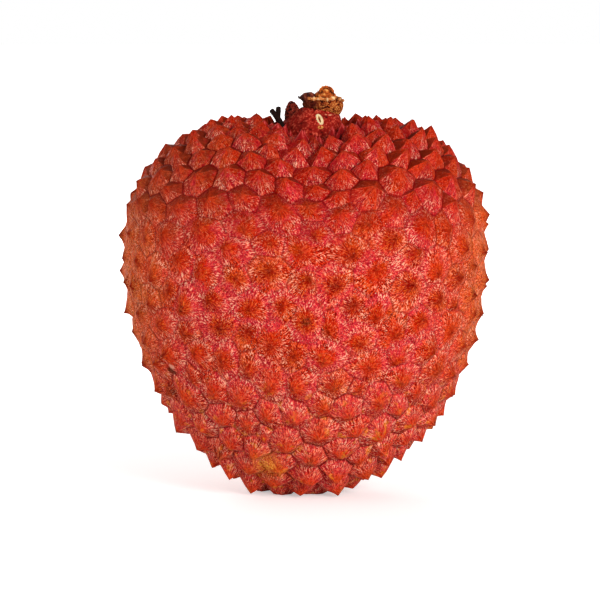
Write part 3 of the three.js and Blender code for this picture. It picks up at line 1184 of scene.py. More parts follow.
class Coat:
    """Colour of a surface, laid on in layers."""

    def __init__(self, g: ShaderGraph, ground: Operand) -> None:
        """Starts with the ground colour.

        Args:
            g: Tree of the material.
            ground: First colour.
        """
        self.g = g
        self.colour = ground

    def lay(self, share: Operand, tone: Colour | Field) -> None:
        """Lays a tone over what is there, by a share from 0 to 1."""
        over = tone if isinstance(tone, Field) else linear(*tone)
        self.colour = self.g.blend(share, self.colour, over)


@dataclass(frozen=True)
class SkinFinish:
    """Leathery skin of a ripe fruit: red, with fine spokes on every tubercle and brown, corky tops."""

    form: HeartForm
    tones: SkinTones = SkinTones()
    marks: SkinMarks = SkinMarks()
    roughness: float = 0.6
    specular: float = 0.02
    stroke_length: float = 3.4
    bump_depth: float = 0.2

    def material(self) -> bpy.types.Material:
        """Builds the material.

        Returns:
            The finished material.
        """
        g = ShaderGraph("lychee_skin")
        g.surface.inputs["Specular IOR Level"].default_value = self.specular
        skin = SkinPatterns(g, self.form, self.stroke_length)
        coat = self._ground(skin)
        self._lay_regions(skin, coat)
        cone, spot = self._lay_cones(skin, coat)
        self._lay_strokes(skin, coat, cone * (1.0 - skin.crown) * (1.0 - 0.8 * spot))
        self._lay_edges(skin, coat)
        self._lay_grooves(skin, coat)
        self._lay_marks(skin, coat)
        self._lay_stalk_shade(skin, coat)
        on_body = 0.65 * skin.spokes + 0.35 * skin.grain
        on_crown = 0.45 * skin.spokes + 0.45 * skin.pebbles
        normal = g.bump(g.mix(skin.crown, on_body, on_crown), self.bump_depth)
        return g.close(coat.colour, self.roughness, normal)

    def _ground(self, skin: SkinPatterns) -> Coat:
        """Starts the coat: flame and rose patches, amber ones, and orange flanks with pale streaks.

        Args:
            skin: Patterns of the skin.

        Returns:
            The coat, for the next layers.
        """
        g, tones = skin.g, self.tones
        flame, rose = linear(*tones.flame), linear(*tones.rose)
        coat = Coat(g, g.blend(skin.rose * (0.85 - 0.4 * skin.flank), flame, rose))
        amber = g.smoothstep(skin.others + 0.16 * (skin.second - 0.5), 0.53, 0.68)
        coat.lay(0.55 * amber, tones.amber)
        lower_right = skin.low * g.smoothstep(skin.x, 0.0, 8.0)
        coat.lay(skin.flank * (0.5 + 0.3 * lower_right), tones.flank)
        left = g.smoothstep(-skin.x, 11.0, 18.0) * (1.0 - 0.7 * skin.crown)
        coat.lay(0.45 * left, tones.left_flank)
        streak = g.smoothstep(g.noise(skin.place * (1.6, 1.6, 0.3), 1.0, 3.0, 0.7), 0.53, 0.6)
        coat.lay(0.4 * streak * left, tones.streak)
        return coat

    def _lay_regions(self, skin: SkinPatterns, coat: Coat) -> None:
        """Lays on what only the crown or the taper has.

        Args:
            skin: Patterns of the skin.
            coat: Coat that receives the layers.
        """
        g, tones, crown, low = skin.g, self.tones, skin.crown, skin.low
        coat.lay(0.8 * crown, tones.crown)
        coat.lay(0.5 * crown * g.smoothstep(skin.second, 0.4, 0.9), tones.crown_amber)
        patchy = 0.5 + 0.5 * g.smoothstep(skin.patches, 0.4, 0.54)
        coat.lay(0.85 * low * g.smoothstep(skin.outward, 0.15, 0.5) * patchy, tones.mauve)
        # Painted shade on the lower side of each tubercle of the taper.
        under = low * g.smoothstep(-skin.facing, 0.1, 0.9) * g.smoothstep(skin.outward, 0.1, 0.5)
        coat.lay(0.6 * under, tones.underside_shade)
        coat.lay((0.4 + 0.4 * skin.foot) * low * skin.near_tip(0.4, 0.15, 0.65), tones.scale_tip)
        coat.lay(0.75 * skin.lower * skin.pink, tones.pink_facet)
        # Painted shade on crown facets picked at random, standing in for facets turned from the light.
        shaded_facets = crown * g.smoothstep(skin.facet_chance + 0.3 * (skin.mottle - 0.5), 0.55, 0.95)
        coat.lay(0.5 * shaded_facets, tones.shaded_facet)
        stain = g.smoothstep(g.noise(skin.place + (7.0, 3.0, 11.0), 1.1, 3.0), 0.58, 0.66)
        coat.lay(0.8 * stain * low, tones.stain)
        corky = g.noise(skin.place + (3.0, 9.0, 1.0), 2.0, 4.0, 0.7) + 0.02 * skin.x
        coat.lay(0.4 * g.smoothstep(corky, 0.4, 0.3) * crown, tones.cork)

    def _lay_cones(self, skin: SkinPatterns, coat: Coat) -> tuple[Field, Field]:
        """Lays on the red cone of every tubercle, its dark spot, and a few bruised tips.

        Args:
            skin: Patterns of the skin.
            coat: Coat that receives the layers.

        Returns:
            Shares of the cone and of the dark spot.
        """
        g, tones, crown, low = skin.g, self.tones, skin.crown, skin.low
        size = (0.65 + 0.7 * skin.second) * (1.0 - 0.4 * crown)
        radius = g.length(g.flat_map("tubercle_plane")) / size + 1.4 * (skin.mottle - 0.5)
        cone = (1.0 - g.smoothstep(radius, 0.6, 1.6)) * (1.0 - 0.65 * low) * (0.4 + 0.6 * skin.first)
        coat.lay(0.75 * cone, g.blend(crown, linear(*tones.cone), linear(*tones.crown_cone)))
        marked = g.math("MAXIMUM", crown, low)
        spot = 1.0 - g.smoothstep(radius + 1.6 * (skin.spokes - 0.5), 0.0, 1.15)
        spot = spot * (1.0 - 0.8 * marked)
        coat.lay(spot * (0.35 + 0.5 * skin.second), tones.spot)
        bruise = g.smoothstep(skin.first, 0.88, 0.9) * (1.0 - g.smoothstep(radius, 0.2, 0.6))
        coat.lay(0.75 * bruise * (1.0 - crown), tones.bruise)
        return cone, spot

    def _lay_strokes(self, skin: SkinPatterns, coat: Coat, sunny: Field) -> None:
        """Lays on the fine strokes around the tubercles, partly their own colour and partly painted
        highlight and shade, then the flecks and the glints.

        Args:
            skin: Patterns of the skin.
            coat: Coat that receives the layers.
            sunny: Share of the yellowish strokes.
        """
        g, tones, crown, low = skin.g, self.tones, skin.crown, skin.low
        rim = g.smoothstep(skin.outward, 0.25, 0.75)
        on_crown = rim * skin.lower * (0.4 + 0.6 * skin.pink)
        rim = g.mix(low, rim, g.smoothstep(skin.outward, 0.25, 0.7))
        rim = g.mix(crown, rim, on_crown)
        speck = skin.spokes + 0.7 * (skin.grain - 0.5)
        vivid = g.smoothstep(g.noise(skin.place + (13.0, 5.0, 29.0), 0.8, 3.0, 0.7), 0.4, 0.6)
        coat.lay(0.8 * g.smoothstep(speck, 0.52, 0.66) * sunny, tones.sunny_stroke)
        # Light strokes: partly the striae's own paler colour, partly painted highlights on their ridges.
        strong = 0.33 + 0.67 * g.math("MAXIMUM", vivid, 0.7 * low)
        light = g.smoothstep(speck, 0.53, 0.66) * (0.06 + 0.94 * rim) * strong
        coat.lay(light, g.blend(vivid, linear(*tones.warm_stroke_and_highlight), linear(*tones.pale_stroke_and_highlight)))
        # Dark strokes: partly the striae's own darker colour, partly painted shade between them.
        fresh = (1.0 - 0.35 * skin.rose) * (1.0 - 0.1 * low)
        dark = g.smoothstep(speck, 0.49, 0.38) * (0.5 + 0.5 * rim) * fresh
        coat.lay(0.95 * dark, tones.dark_stroke_and_shade)
        fleck = 0.28 + 0.1 * low - 0.06 * crown
        coat.lay(fleck * g.smoothstep(skin.pebbles, 0.52, 0.6), tones.light_fleck)
        coat.lay(fleck * g.smoothstep(skin.pebbles, 0.48, 0.4), tones.dark_fleck)
        glint = g.smoothstep(g.noise(skin.place, 11.0, 1.0), 0.66, 0.74)
        coat.lay(0.8 * glint * g.math("MAXIMUM", 0.2 + 0.7 * rim, 0.35 * crown), tones.glint)

    def _lay_edges(self, skin: SkinPatterns, coat: Coat) -> None:
        """Lays on the dark upper strips, painted highlights along the ridges, the dry flecks of the
        flanks and their dark tips.

        Args:
            skin: Patterns of the skin.
            coat: Coat that receives the layers.
        """
        g, tones, crown = skin.g, self.tones, skin.crown
        top = g.smoothstep(skin.facing + 0.9 * (skin.mottle - 0.5), 0.0, 0.6) * crown * crown
        coat.lay(0.85 * top * g.smoothstep(skin.outward, 0.0, 0.5), tones.upper_strip)
        coat.lay(0.3 * crown * skin.near_tip(0.6, 0.05, 0.3), tones.peak)
        # Painted highlights along the ridges from each tip to the corners of its cell.
        edge = 1.0 - g.smoothstep(skin.ridge + 0.5 * (skin.grain - 0.5), 0.0, 0.1)
        coat.lay(edge * (0.2 * skin.low - 0.05 * skin.foot), tones.scale_ridge_highlight)
        coat.lay(0.35 * edge * crown * (1.0 - skin.outward), tones.crown_ridge_highlight)
        aside = g.math("ABSOLUTE", skin.x) + 5.0 * (skin.others - 0.5)
        dry = g.smoothstep(aside, 14.0, 18.0) * g.smoothstep(skin.grain, 0.46, 0.54)
        coat.lay(0.4 * dry * (1.0 - 0.6 * crown), tones.dry_fleck)
        coat.lay(0.75 * skin.flank * skin.near_tip(0.4, 0.08, 0.36), tones.flank_tip)

    def _lay_grooves(self, skin: SkinPatterns, coat: Coat) -> None:
        """Lays on the grooves between the cells.

        Args:
            skin: Patterns of the skin.
            coat: Coat that receives the layers.
        """
        g, crown, low = skin.g, skin.crown, skin.low
        wavy = skin.outward + (0.14 - 0.06 * crown) * (skin.mottle - 0.5) + 0.08 * (skin.grain - 0.5)
        faded = 0.6 * g.smoothstep(skin.others, 0.42, 0.58)
        on_body = 0.18 + 0.15 * low + faded * (0.6 + 0.25 * low)
        depth = g.math("MAXIMUM", crown * (0.8 + 0.3 * faded), on_body)
        coat.lay(g.smoothstep(wavy, 0.92, 0.975) * depth, self.tones.groove)

    def _lay_marks(self, skin: SkinPatterns, coat: Coat) -> None:
        """Lays on the two marks of the front: a golden patch, and a nick with a pale rim.

        Args:
            skin: Patterns of the skin.
            coat: Coat that receives the layers.
        """
        g, tones, marks = skin.g, self.tones, self.marks
        front = g.smoothstep(-skin.y, 0.0, 2.0)
        from_patch = g.length(g.combine(skin.x - marks.patch_x, 0.0, skin.z - marks.patch_z))
        coat.lay(0.5 * front * g.bell(from_patch, 1.3), tones.gold_ground)
        grained = g.smoothstep(skin.grain + 0.5 * (skin.pebbles - 0.5), 0.48, 0.55)
        coat.lay(0.85 * front * g.bell(from_patch, 1.1) * grained, tones.gold)
        rightward, upward = skin.x - marks.nick_x, skin.z - marks.nick_z
        along, athwart = 0.82 * rightward - 0.57 * upward, 0.57 * rightward + 0.82 * upward
        ragged = 2.4 * (skin.grain - 0.5)
        rim = g.length(g.combine((along + 0.25) / 0.32, (athwart - 0.42) / 0.22, 0.0)) + ragged
        coat.lay(0.8 * front * g.smoothstep(rim, 1.1, 0.6), tones.nick_rim)
        nick = g.length(g.combine(along / 0.52, athwart / 0.26, 0.0)) + ragged
        coat.lay(0.85 * front * g.smoothstep(nick, 1.3, 0.6), tones.nick)

    def _lay_stalk_shade(self, skin: SkinPatterns, coat: Coat) -> None:
        """Lays on the shade around the stalk.

        Args:
            skin: Patterns of the skin.
            coat: Coat that receives the layer.
        """
        g = skin.g
        from_stalk = g.length(g.combine(skin.x - self.form.stalk_x, skin.y, 0.0))
        shade = g.bell(from_stalk, 5.0) * g.smoothstep(skin.level, 0.0, 6.0)
        coat.lay(0.85 * shade, self.tones.shade)


# ---------------------------------------------------------------- raised and lofted pieces


def lofted(name: str, sections: np.ndarray) -> bpy.types.Mesh:
    """Closed mesh through sections, with both ends capped.

    Args:
        name: Name of the mesh.
        sections: Points by section, point and part; each section runs anticlockwise seen from the last.

    Returns:
        The mesh, in the units of the sections.
    """
    count, sides, _ = sections.shape
    ends = np.array([sections[0].mean(axis=0), sections[-1].mean(axis=0)])
    points = np.concatenate([sections.reshape(-1, 3), ends])
    last = (count - 1) * sides
    faces = []
    for k in range(sides):
        after = (k + 1) % sides
        faces.append((count * sides, after, k))
        faces.append((count * sides + 1, last + k, last + after))
        for row in range(0, last, sides):
            faces.append((row + k, row + after, row + after + sides, row + k + sides))
    mesh = bpy.data.meshes.new(name)
    mesh.from_pydata(points.tolist(), [], faces)
    return mesh


def stacked(profile: np.ndarray, depth_share: float, y: float, steps: int, sides: int) -> np.ndarray:
    """Level sections of an upright piece.

    Args:
        profile: Rows of height, middle x and half width, read upwards.
        depth_share: Depth of the piece as a share of its width.
        y: Middle of the piece from front to back.
        steps: Number of sections.
        sides: Points per section.

    Returns:
        Sections for lofting.
    """
    knots = np.concatenate([[0], np.cumsum(np.linalg.norm(np.diff(profile, axis=0), axis=1))])
    along = np.linspace(0, knots[-1], steps)
    height, middle, half = (np.interp(along, knots, column) for column in profile.T)
    turn = np.linspace(0, 2 * math.pi, sides, endpoint=False)
    x = middle[:, None] + half[:, None] * np.cos(turn)
    back = y + depth_share * half[:, None] * np.sin(turn)
    return np.stack([x, back, np.broadcast_to(height[:, None], x.shape)], axis=2)


def swept(
    path: np.ndarray, radii: np.ndarray, sides: int, across: Triple = (0.0, 1.0, 0.0)
) -> np.ndarray:
    """Round sections along a path.

    Args:
        path: Points of the path.
        radii: Radius at every point.
        sides: Points per section.
        across: Direction that the path never takes.

    Returns:
        Sections for lofting.
    """
    ahead = np.gradient(path, axis=0)
    ahead /= np.linalg.norm(ahead, axis=1, keepdims=True)
    side = np.cross(np.array(across), ahead)
    side /= np.linalg.norm(side, axis=1, keepdims=True)
    other = np.cross(ahead, side)
    turn = np.linspace(0, 2 * math.pi, sides, endpoint=False)[None, :, None]
    ring = np.cos(turn) * side[:, None, :] + np.sin(turn) * other[:, None, :]
    return path[:, None, :] + radii[:, None, None] * ring


def smooth_path(corners: list[Triple] | np.ndarray, steps: int) -> np.ndarray:
    """Evenly stepped path that rounds off a row of corners.

    Args:
        corners: Points that steer the path; it starts and ends on the first and the last.
        steps: Number of points of the result.

    Returns:
        The points, one per row.
    """
    rough = np.array(corners, dtype=float)
    for _ in range(3):
        near = 0.75 * rough[:-1] + 0.25 * rough[1:]
        far = 0.25 * rough[:-1] + 0.75 * rough[1:]
        inner = np.stack([near, far], axis=1).reshape(-1, 3)
        rough = np.concatenate([rough[:1], inner[1:-1], rough[-1:]])
    along = np.concatenate([[0], np.cumsum(np.linalg.norm(np.diff(rough, axis=0), axis=1))])
    even = np.linspace(0, along[-1], steps)
    return np.stack([np.interp(even, along, column) for column in rough.T], axis=1)


def merged(name: str, meshes: list[bpy.types.Mesh]) -> bpy.types.Mesh:
    """One mesh from several.

    Args:
        name: Name of the new mesh.
        meshes: Closed meshes to put together.

    Returns:
        The new mesh.
    """
    whole = bmesh.new()
    for mesh in meshes:
        whole.from_mesh(mesh)
    result = bpy.data.meshes.new(name)
    whole.to_mesh(result)
    whole.free()
    return result


def raised(
    name: str,
    start: bpy.types.Mesh,
    finish: bpy.types.Material,
    depth: float,
    relief: Callable[[GeometryGraph, Field], Field],
) -> bpy.types.Object:
    """Piece whose surface is pushed out by a formula, which its finish reads as the attribute "relief".

    Args:
        name: Name of the piece.
        start: Closed mesh in millimetres.
        finish: Material.
        depth: Push in millimetres where the formula gives 1.
        relief: Formula of a point, about 0 to 1.

    Returns:
        The finished piece, in metres.
    """
    g = GeometryGraph(name + "_relief")
    push = g.take("Depth of the relief", depth)
    material = g.take("Finish", finish)
    point = g.out(g.add("GeometryNodeInputPosition"))
    normal = g.out(g.add("GeometryNodeInputNormal"))
    mesh = g.store(g.geometry, "relief", relief(g, point), "FLOAT", "POINT")
    mesh = g.place(mesh, (point + normal * (g.named("relief", "FLOAT") * push)) * MM)
    g.finish(mesh, material)
    return g.run(name, start)


# ---------------------------------------------------------------- stalk stub


@dataclass(frozen=True)
class DryFinish:
    """Dry, matt plant surface, patchy, darker in its hollows and lighter on its high places: partly its
    own tones, partly painted shade and painted highlights.
    """

    name: str
    hollow_tone_and_shade: Colour
    body: Colour
    light: Colour
    shade: Colour
    shaded_side: float = 0.0
    grain: float = 6.0
    roughness: float = 0.75
    specular: float = 0.08
    bump_depth: float = 0.06

    def material(self, middle_x: float) -> bpy.types.Material:
        """Builds the material.

        Args:
            middle_x: Where the shaded side ends, in millimetres.

        Returns:
            The material.
        """
        g = ShaderGraph(self.name)
        g.surface.inputs["Specular IOR Level"].default_value = self.specular
        place = g.place_mm()
        relief = g.share("relief")
        grain = g.noise(place, self.grain, 3.0, 0.7)
        patches = g.noise(place, 0.9, 2.0)
        height = relief + 0.9 * (grain - 0.5)
        # Painted shade in the hollows and painted highlights on the high places, over the surface's own
        # darker and lighter tones.
        colour = g.blend(g.smoothstep(height, 0.05, 0.42), linear(*self.hollow_tone_and_shade), linear(*self.body))
        colour = g.blend(g.smoothstep(height, 0.5, 1.0), colour, linear(*self.light))
        aside = g.smoothstep(middle_x - place.parts[0] + 1.2 * (patches - 0.5), -0.35, 0.35)
        colour = g.blend(self.shaded_side * aside, colour, linear(*self.shade))
        blotch = g.smoothstep(patches, 0.52, 0.68)
        colour = g.blend(0.35 * blotch, colour, linear(*self.shade))
        return g.close(colour, self.roughness, g.bump(0.5 * relief + 0.5 * grain, self.bump_depth))


@dataclass(frozen=True)
class StalkStub:
    """Stub of the stalk: pebbled mound, crinkled joint with its curled lip, and the broken end.

    Profiles hold rows of height over the mound's foot, place from its middle to the right, and half
    width, in millimetres. The torn area that the fibres share is in square millimetres.
    """

    box: Box
    mound_profile: tuple[Triple, ...] = (
        (0.0, 0.0, 2.9),
        (2.0, -0.25, 3.15),
        (3.1, -0.2, 3.0),
        (3.8, 0.02, 2.63),
        (4.3, 0.25, 2.2),
        (4.7, 0.4, 1.75),
        (4.95, 0.45, 1.2),
        (5.08, 0.45, 0.3),
    )
    joint_profile: tuple[Triple, ...] = (
        (4.0, 1.5, 0.4),
        (4.15, 1.5, 0.9),
        (4.35, 1.35, 1.3),
        (4.7, 1.15, 1.7),
        (5.0, 1.02, 1.9),
        (5.25, 0.98, 1.98),
        (5.5, 0.95, 1.92),
        (5.7, 0.95, 1.8),
        (5.82, 0.95, 1.72),
        (5.84, 0.95, 1.4),
        (5.7, 0.95, 0.9),
    )
    flap_profile: tuple[Triple, ...] = (
        (5.5, -0.4, 0.6),
        (5.85, -0.48, 0.8),
        (6.12, -0.48, 0.76),
        (6.33, -0.45, 0.52),
        (6.44, -0.4, 0.18),
    )
    core_profile: tuple[Triple, ...] = (
        (5.5, 1.1, 1.05),
        (6.0, 1.15, 1.02),
        (6.3, 1.2, 0.88),
        (6.55, 1.3, 0.62),
        (6.75, 1.33, 0.48),
        (6.9, 1.35, 0.3),
        (6.98, 1.38, 0.12),
    )
    fibres: int = 24
    fibre_seed: int = 12
    fibre_length: float = 0.34
    fibre_width: float = 0.07
    torn_area: float = 7.0

    @property
    def middle_x(self) -> float:
        """Middle of the mound."""
        return float(self.box.middle[0])

    @property
    def foot(self) -> float:
        """Height of the mound's foot."""
        return float(self.box.low[2])

    @property
    def depth_share(self) -> float:
        """Depth of the mound as a share of its width."""
        return float(self.box.size[1] / self.box.size[0])

    def profile(self, rows: tuple[Triple, ...]) -> np.ndarray:
        """Profile in the part's frame."""
        return np.array(rows) + np.array([self.foot, self.middle_x, 0.0])

    def point(self, aside: float, depth: float, height: float) -> Triple:
        """Point by its place from the mound's middle and its height over the foot."""
        return (self.middle_x + aside, depth, self.foot + height)

    def build(self) -> list[bpy.types.Object]:
        """Builds the pieces of the stub.

        Returns:
            The finished pieces, from the mound upwards.
        """
        return [
            self._mound(),
            self._joint(),
            self._lip(),
            self._flap(),
            self._core(),
            self._fibres(),
            self._crease(),
            *self._pores(),
        ]

    def _mound(self) -> bpy.types.Object:
        """Dark red mound, pebbled all over.

        Returns:
            The finished piece.
        """
        sections = stacked(self.profile(self.mound_profile), self.depth_share, 0.0, 60, 170)
        finish = DryFinish("pebbled_bark", (54, 0, 0), (144, 20, 10), (226, 92, 68), (80, 8, 2), 0.4)

        def pebbles(g: GeometryGraph, point: Field) -> Field:
            """Round grains with narrow hollows between them.

            Args:
                g: Tree of the piece.
                point: Point of the surface, in millimetres.

            Returns:
                Height of the surface, about 0 to 1.
            """
            grains = 1.0 - g.cells(point, 4.6) * 1.1
            lumps = g.noise(point, 1.2, 2.0)
            return 0.95 * g.clamp(grains) + 0.5 * (lumps - 0.28)

        material = finish.material(self.middle_x - 0.9)
        return raised("stalk_mound", lofted("mound", sections), material, 0.2, pebbles)

    def _joint(self) -> bpy.types.Object:
        """Golden-brown swollen joint, crinkled all over.

        Returns:
            The finished piece.
        """
        profile = self.profile(self.joint_profile)
        finish = DryFinish("crinkled_bark", (44, 4, 0), (150, 60, 16), (246, 168, 88), (76, 16, 8), 0.85)

        def crinkles(g: GeometryGraph, point: Field) -> Field:
            """Sharp folds that run mostly around the joint.

            Args:
                g: Tree of the piece.
                point: Point of the surface, in millimetres.

            Returns:
                Height of the surface, about 0 to 1.
            """
            stray = g.noise_vector(point, 1.6) * 0.8
            folds = g.noise((point + stray) * (0.8, 0.8, 2.0), 2.6, 3.0, 0.6)
            return 0.9 - 8.0 * g.math("ABSOLUTE", folds - 0.5)

        mesh = lofted("joint", stacked(profile, 1.0, 0.0, 60, 200))
        return raised("stalk_joint", mesh, finish.material(self.middle_x + 0.45), 0.12, crinkles)

    def _lip(self) -> bpy.types.Object:
        """Pale curled lip of the joint, with painted shade over its left end.

        Returns:
            The finished piece.
        """
        front = [
            self.point(-1.46, -0.3, 5.98),
            self.point(-1.3, -0.55, 5.84),
            self.point(-0.75, -1.2, 6.0),
            self.point(-0.1, -1.75, 5.76),
            self.point(0.6, -1.95, 5.92),
            self.point(1.3, -1.95, 5.7),
            self.point(2.1, -1.6, 5.94),
            self.point(2.7, -0.9, 5.78),
            self.point(3.0, -0.3, 5.62),
        ]
        back = [
            self.point(-1.2, -0.2, 5.9),
            self.point(-0.7, 1.1, 6.0),
            self.point(0.4, 1.95, 5.95),
            self.point(1.4, 1.9, 6.02),
            self.point(2.3, 1.2, 5.95),
            self.point(2.8, 0.0, 5.8),
        ]
        steps = 90
        radii = 0.025 + 0.055 * np.sin(math.pi * np.linspace(0, 1, steps)) ** 0.35
        tubes = [
            lofted(name, swept(smooth_path(corners, steps), radii, 10, (0.0, 0.0, 1.0)))
            for name, corners in (("front", front), ("back", back))
        ]
        finish = DryFinish("dry_edge", (76, 20, 4), (206, 118, 58), (252, 206, 148), (34, 8, 4), 0.95)

        def curls(g: GeometryGraph, point: Field) -> Field:
            """Crinkles."""
            return 0.5 + 3.0 * (g.noise(point, 3.2, 3.0, 0.7) - 0.5)

        material = finish.material(self.middle_x - 0.75)
        return raised("stalk_lip", merged("lip", tubes), material, 0.16, curls)

    def _flap(self) -> bpy.types.Object:
        """Dark withered flap at the left of the broken end, striped from front to back.

        Returns:
            The finished piece.
        """
        profile = self.profile(self.flap_profile)
        finish = DryFinish("withered_bark", (26, 4, 2), (98, 34, 20), (170, 92, 64), (40, 10, 6), 0.3)

        def stripes(g: GeometryGraph, point: Field) -> Field:
            """Folds that run over the top.

            Args:
                g: Tree of the piece.
                point: Point of the surface, in millimetres.

            Returns:
                Height of the surface, about 0 to 1.
            """
            x, _, z = point.parts
            wave = g.math("SINE", (x + 0.35 * z) * 9.0 + 5.0 * g.noise(point, 2.0, 2.0))
            return 0.35 + 0.3 * wave + 0.7 * (g.noise(point, 4.0, 3.0) - 0.4)

        mesh = lofted("flap", stacked(profile, 1.3, -0.5, 40, 110))
        return raised("stalk_flap", mesh, finish.material(self.middle_x - 0.6), 0.08, stripes)

    def _core(self) -> bpy.types.Object:
        """Torn wood inside the broken end.

        Returns:
            The finished piece.
        """
        profile = self.profile(self.core_profile)
        finish = DryFinish("torn_wood", (52, 10, 0), (178, 80, 26), (248, 176, 92), (84, 22, 6), 0.6)

        def lumps(g: GeometryGraph, point: Field) -> Field:
            """Torn lumps."""
            grains = 1.0 - 1.3 * g.cells(point + g.noise_vector(point, 2.0) * 0.3, 2.1)
            return 0.9 * g.clamp(grains) + 1.1 * (g.noise(point, 3.4, 2.0, 0.65) - 0.42)

        mesh = lofted("core", stacked(profile, 1.0, -0.1, 44, 96))
        return raised("stalk_core", mesh, finish.material(self.middle_x + 0.35), 0.26, lumps)

    def _fibres(self) -> bpy.types.Object:
        """Short bent fibres that stand out of the torn wood.

        Returns:
            The finished piece.
        """
        finish = DryFinish("wood_fibres", (96, 30, 2), (214, 112, 40), (255, 190, 112), (84, 24, 4), 0.5)
        start = lofted("fibre_ground", stacked(self.profile(self.core_profile), 1.0, 0.0, 14, 24))
        g = GeometryGraph("fibre_growth")
        count = g.take("Number of fibres", self.fibres)
        seed = g.take("Seed", self.fibre_seed)
        length = g.take("Fibre length", self.fibre_length)
        width = g.take("Fibre width", self.fibre_width)
        material = g.take("Finish", finish.material(self.middle_x + 0.35))
        scattered = g.add(
            "GeometryNodeDistributePointsOnFaces",
            {"Mesh": g.geometry, "Density": count / self.torn_area, "Seed": seed},
        )
        points, normal = scattered.outputs["Points"], g.out(scattered, "Normal")
        stray = g.noise_vector(g.out(g.add("GeometryNodeInputPosition")), 7.0) * 2.2
        aim = (0.0, 0.0, 0.9) + normal * 0.55 + stray
        turned = g.out(g.add("FunctionNodeAlignRotationToVector", {"Vector": aim}, axis="Z"))
        size = 0.45 + 0.8 * g.noise(g.out(g.add("GeometryNodeInputPosition")), 9.0)
        strand = g.add(
            "GeometryNodeMeshCone",
            {
                "Vertices": 6,
                "Side Segments": 5,
                "Radius Top": 0.02,
                "Radius Bottom": width,
                "Depth": length,
            },
        ).outputs["Mesh"]
        copies = g.add(
            "GeometryNodeInstanceOnPoints",
            {"Points": points, "Instance": strand, "Rotation": turned, "Scale": size},
        ).outputs[0]
        mesh = g.add("GeometryNodeRealizeInstances", {"Geometry": copies}).outputs[0]
        place = g.out(g.add("GeometryNodeInputPosition"))
        relief = g.noise(place, 2.4, 2.0)
        mesh = g.store(mesh, "relief", relief, "FLOAT", "POINT")
        mesh = g.place(mesh, (place + g.noise_vector(place, 2.6) * 0.3) * MM)
        g.finish(mesh, material)
        return g.run("stalk_fibres", start)

    def _crease(self) -> bpy.types.Object:
        """Thin pale fold under the right of the joint.

        Returns:
            The finished piece.
        """
        places = [(1.0, 4.36), (1.3, 4.24), (1.7, 4.2), (2.1, 4.26), (2.4, 4.45)]
        steps = 40
        path = smooth_path([self.on_mound(aside, height, 0.06) for aside, height in places], steps)
        radii = 0.02 + 0.055 * np.sin(math.pi * np.linspace(0, 1, steps)) ** 0.5
        finish = DryFinish("dry_fold", (150, 60, 30), (216, 130, 96), (250, 196, 160), (150, 60, 40))

        def curls(g: GeometryGraph, point: Field) -> Field:
            """Slight crinkles."""
            return g.noise(point, 3.0, 2.0)

        mesh = lofted("crease", swept(path, radii, 8))
        return raised("stalk_crease", mesh, finish.material(self.middle_x), 0.05, curls)

    def on_mound(self, aside: float, height: float, over: float) -> Triple:
        """Point on the front of the mound, or a little over it.

        Args:
            aside: Place from the mound's middle to the right.
            height: Height over its foot.
            over: Distance in front of its surface.

        Returns:
            The point in the part's frame.
        """
        rows = np.array(self.mound_profile)
        middle = np.interp(height, rows[:, 0], rows[:, 1])
        half = np.interp(height, rows[:, 0], rows[:, 2])
        share = min(1.0, abs(aside - middle) / half)
        depth = -self.depth_share * half * math.sqrt(1 - share * share) - over
        return self.point(aside, float(depth), height)

    def _pores(self) -> list[bpy.types.Object]:
        """Two corky pores on the front of the mound: a pale oval with a dark slit, and a small one.

        Returns:
            The finished pieces.
        """
        oval = Pore("pale_pore", self.on_mound(0.62, 3.79, 0.0), half_sizes=(0.25, 0.45, 0.13), lean=0.32)
        small = Pore("amber_pore", self.on_mound(0.69, 3.05, 0.0), half_sizes=(0.2, 0.08, 0.08), lean=0.0)
        pale = DryFinish("pale_cork", (34, 32, 4), (200, 152, 92), (240, 214, 164), (180, 120, 70))
        amber = DryFinish("amber_cork", (120, 40, 10), (176, 84, 30), (222, 144, 72), (150, 60, 20))
        return [oval.build(pale), small.build(amber)]


@dataclass(frozen=True)
class Pore:
    """Corky oval on the bark; half sizes run across, up and out of it, in millimetres."""

    name: str
    place: Triple
    half_sizes: Triple
    lean: float
    slit_width: float = 0.34

    def build(self, finish: DryFinish) -> bpy.types.Object:
        """Builds the oval, sunk along a slit in its middle.

        Args:
            finish: Cork that it wears.

        Returns:
            The finished piece.
        """
        width, height, out = self.half_sizes
        level = np.linspace(-1, 1, 40)
        ring = np.sqrt(np.clip(1 - level**2, 0.0004, 1))
        turn = np.linspace(0, 2 * math.pi, 48, endpoint=False)
        x = width * ring[:, None] * np.cos(turn) + self.lean * height * -level[:, None]
        y = out * ring[:, None] * np.sin(turn) + 0.45 * height * level[:, None]
        z = np.broadcast_to(height * level[:, None], x.shape)
        sections = np.stack([x, y, z], axis=2) + np.array(self.place)

        def slit(g: GeometryGraph, point: Field) -> Field:
            """High around, sunk in the middle.

            Args:
                g: Tree of the piece.
                point: Point of the surface, in millimetres.

            Returns:
                Height of the surface, about 0 to 1.
            """
            x, _, z = (point - self.place).parts
            across = x / width + self.lean * z / width
            share = g.length(g.combine(across / self.slit_width, z / (0.62 * height), 0.0))
            return g.smoothstep(share + 0.5 * (g.noise(point, 8.0) - 0.5), 0.65, 1.35)

        middle_x = self.place[0] - 2 * width
        return raised(self.name, lofted(self.name, sections), finish.material(middle_x), 0.12, slit)


# ---------------------------------------------------------------- small carpel and style


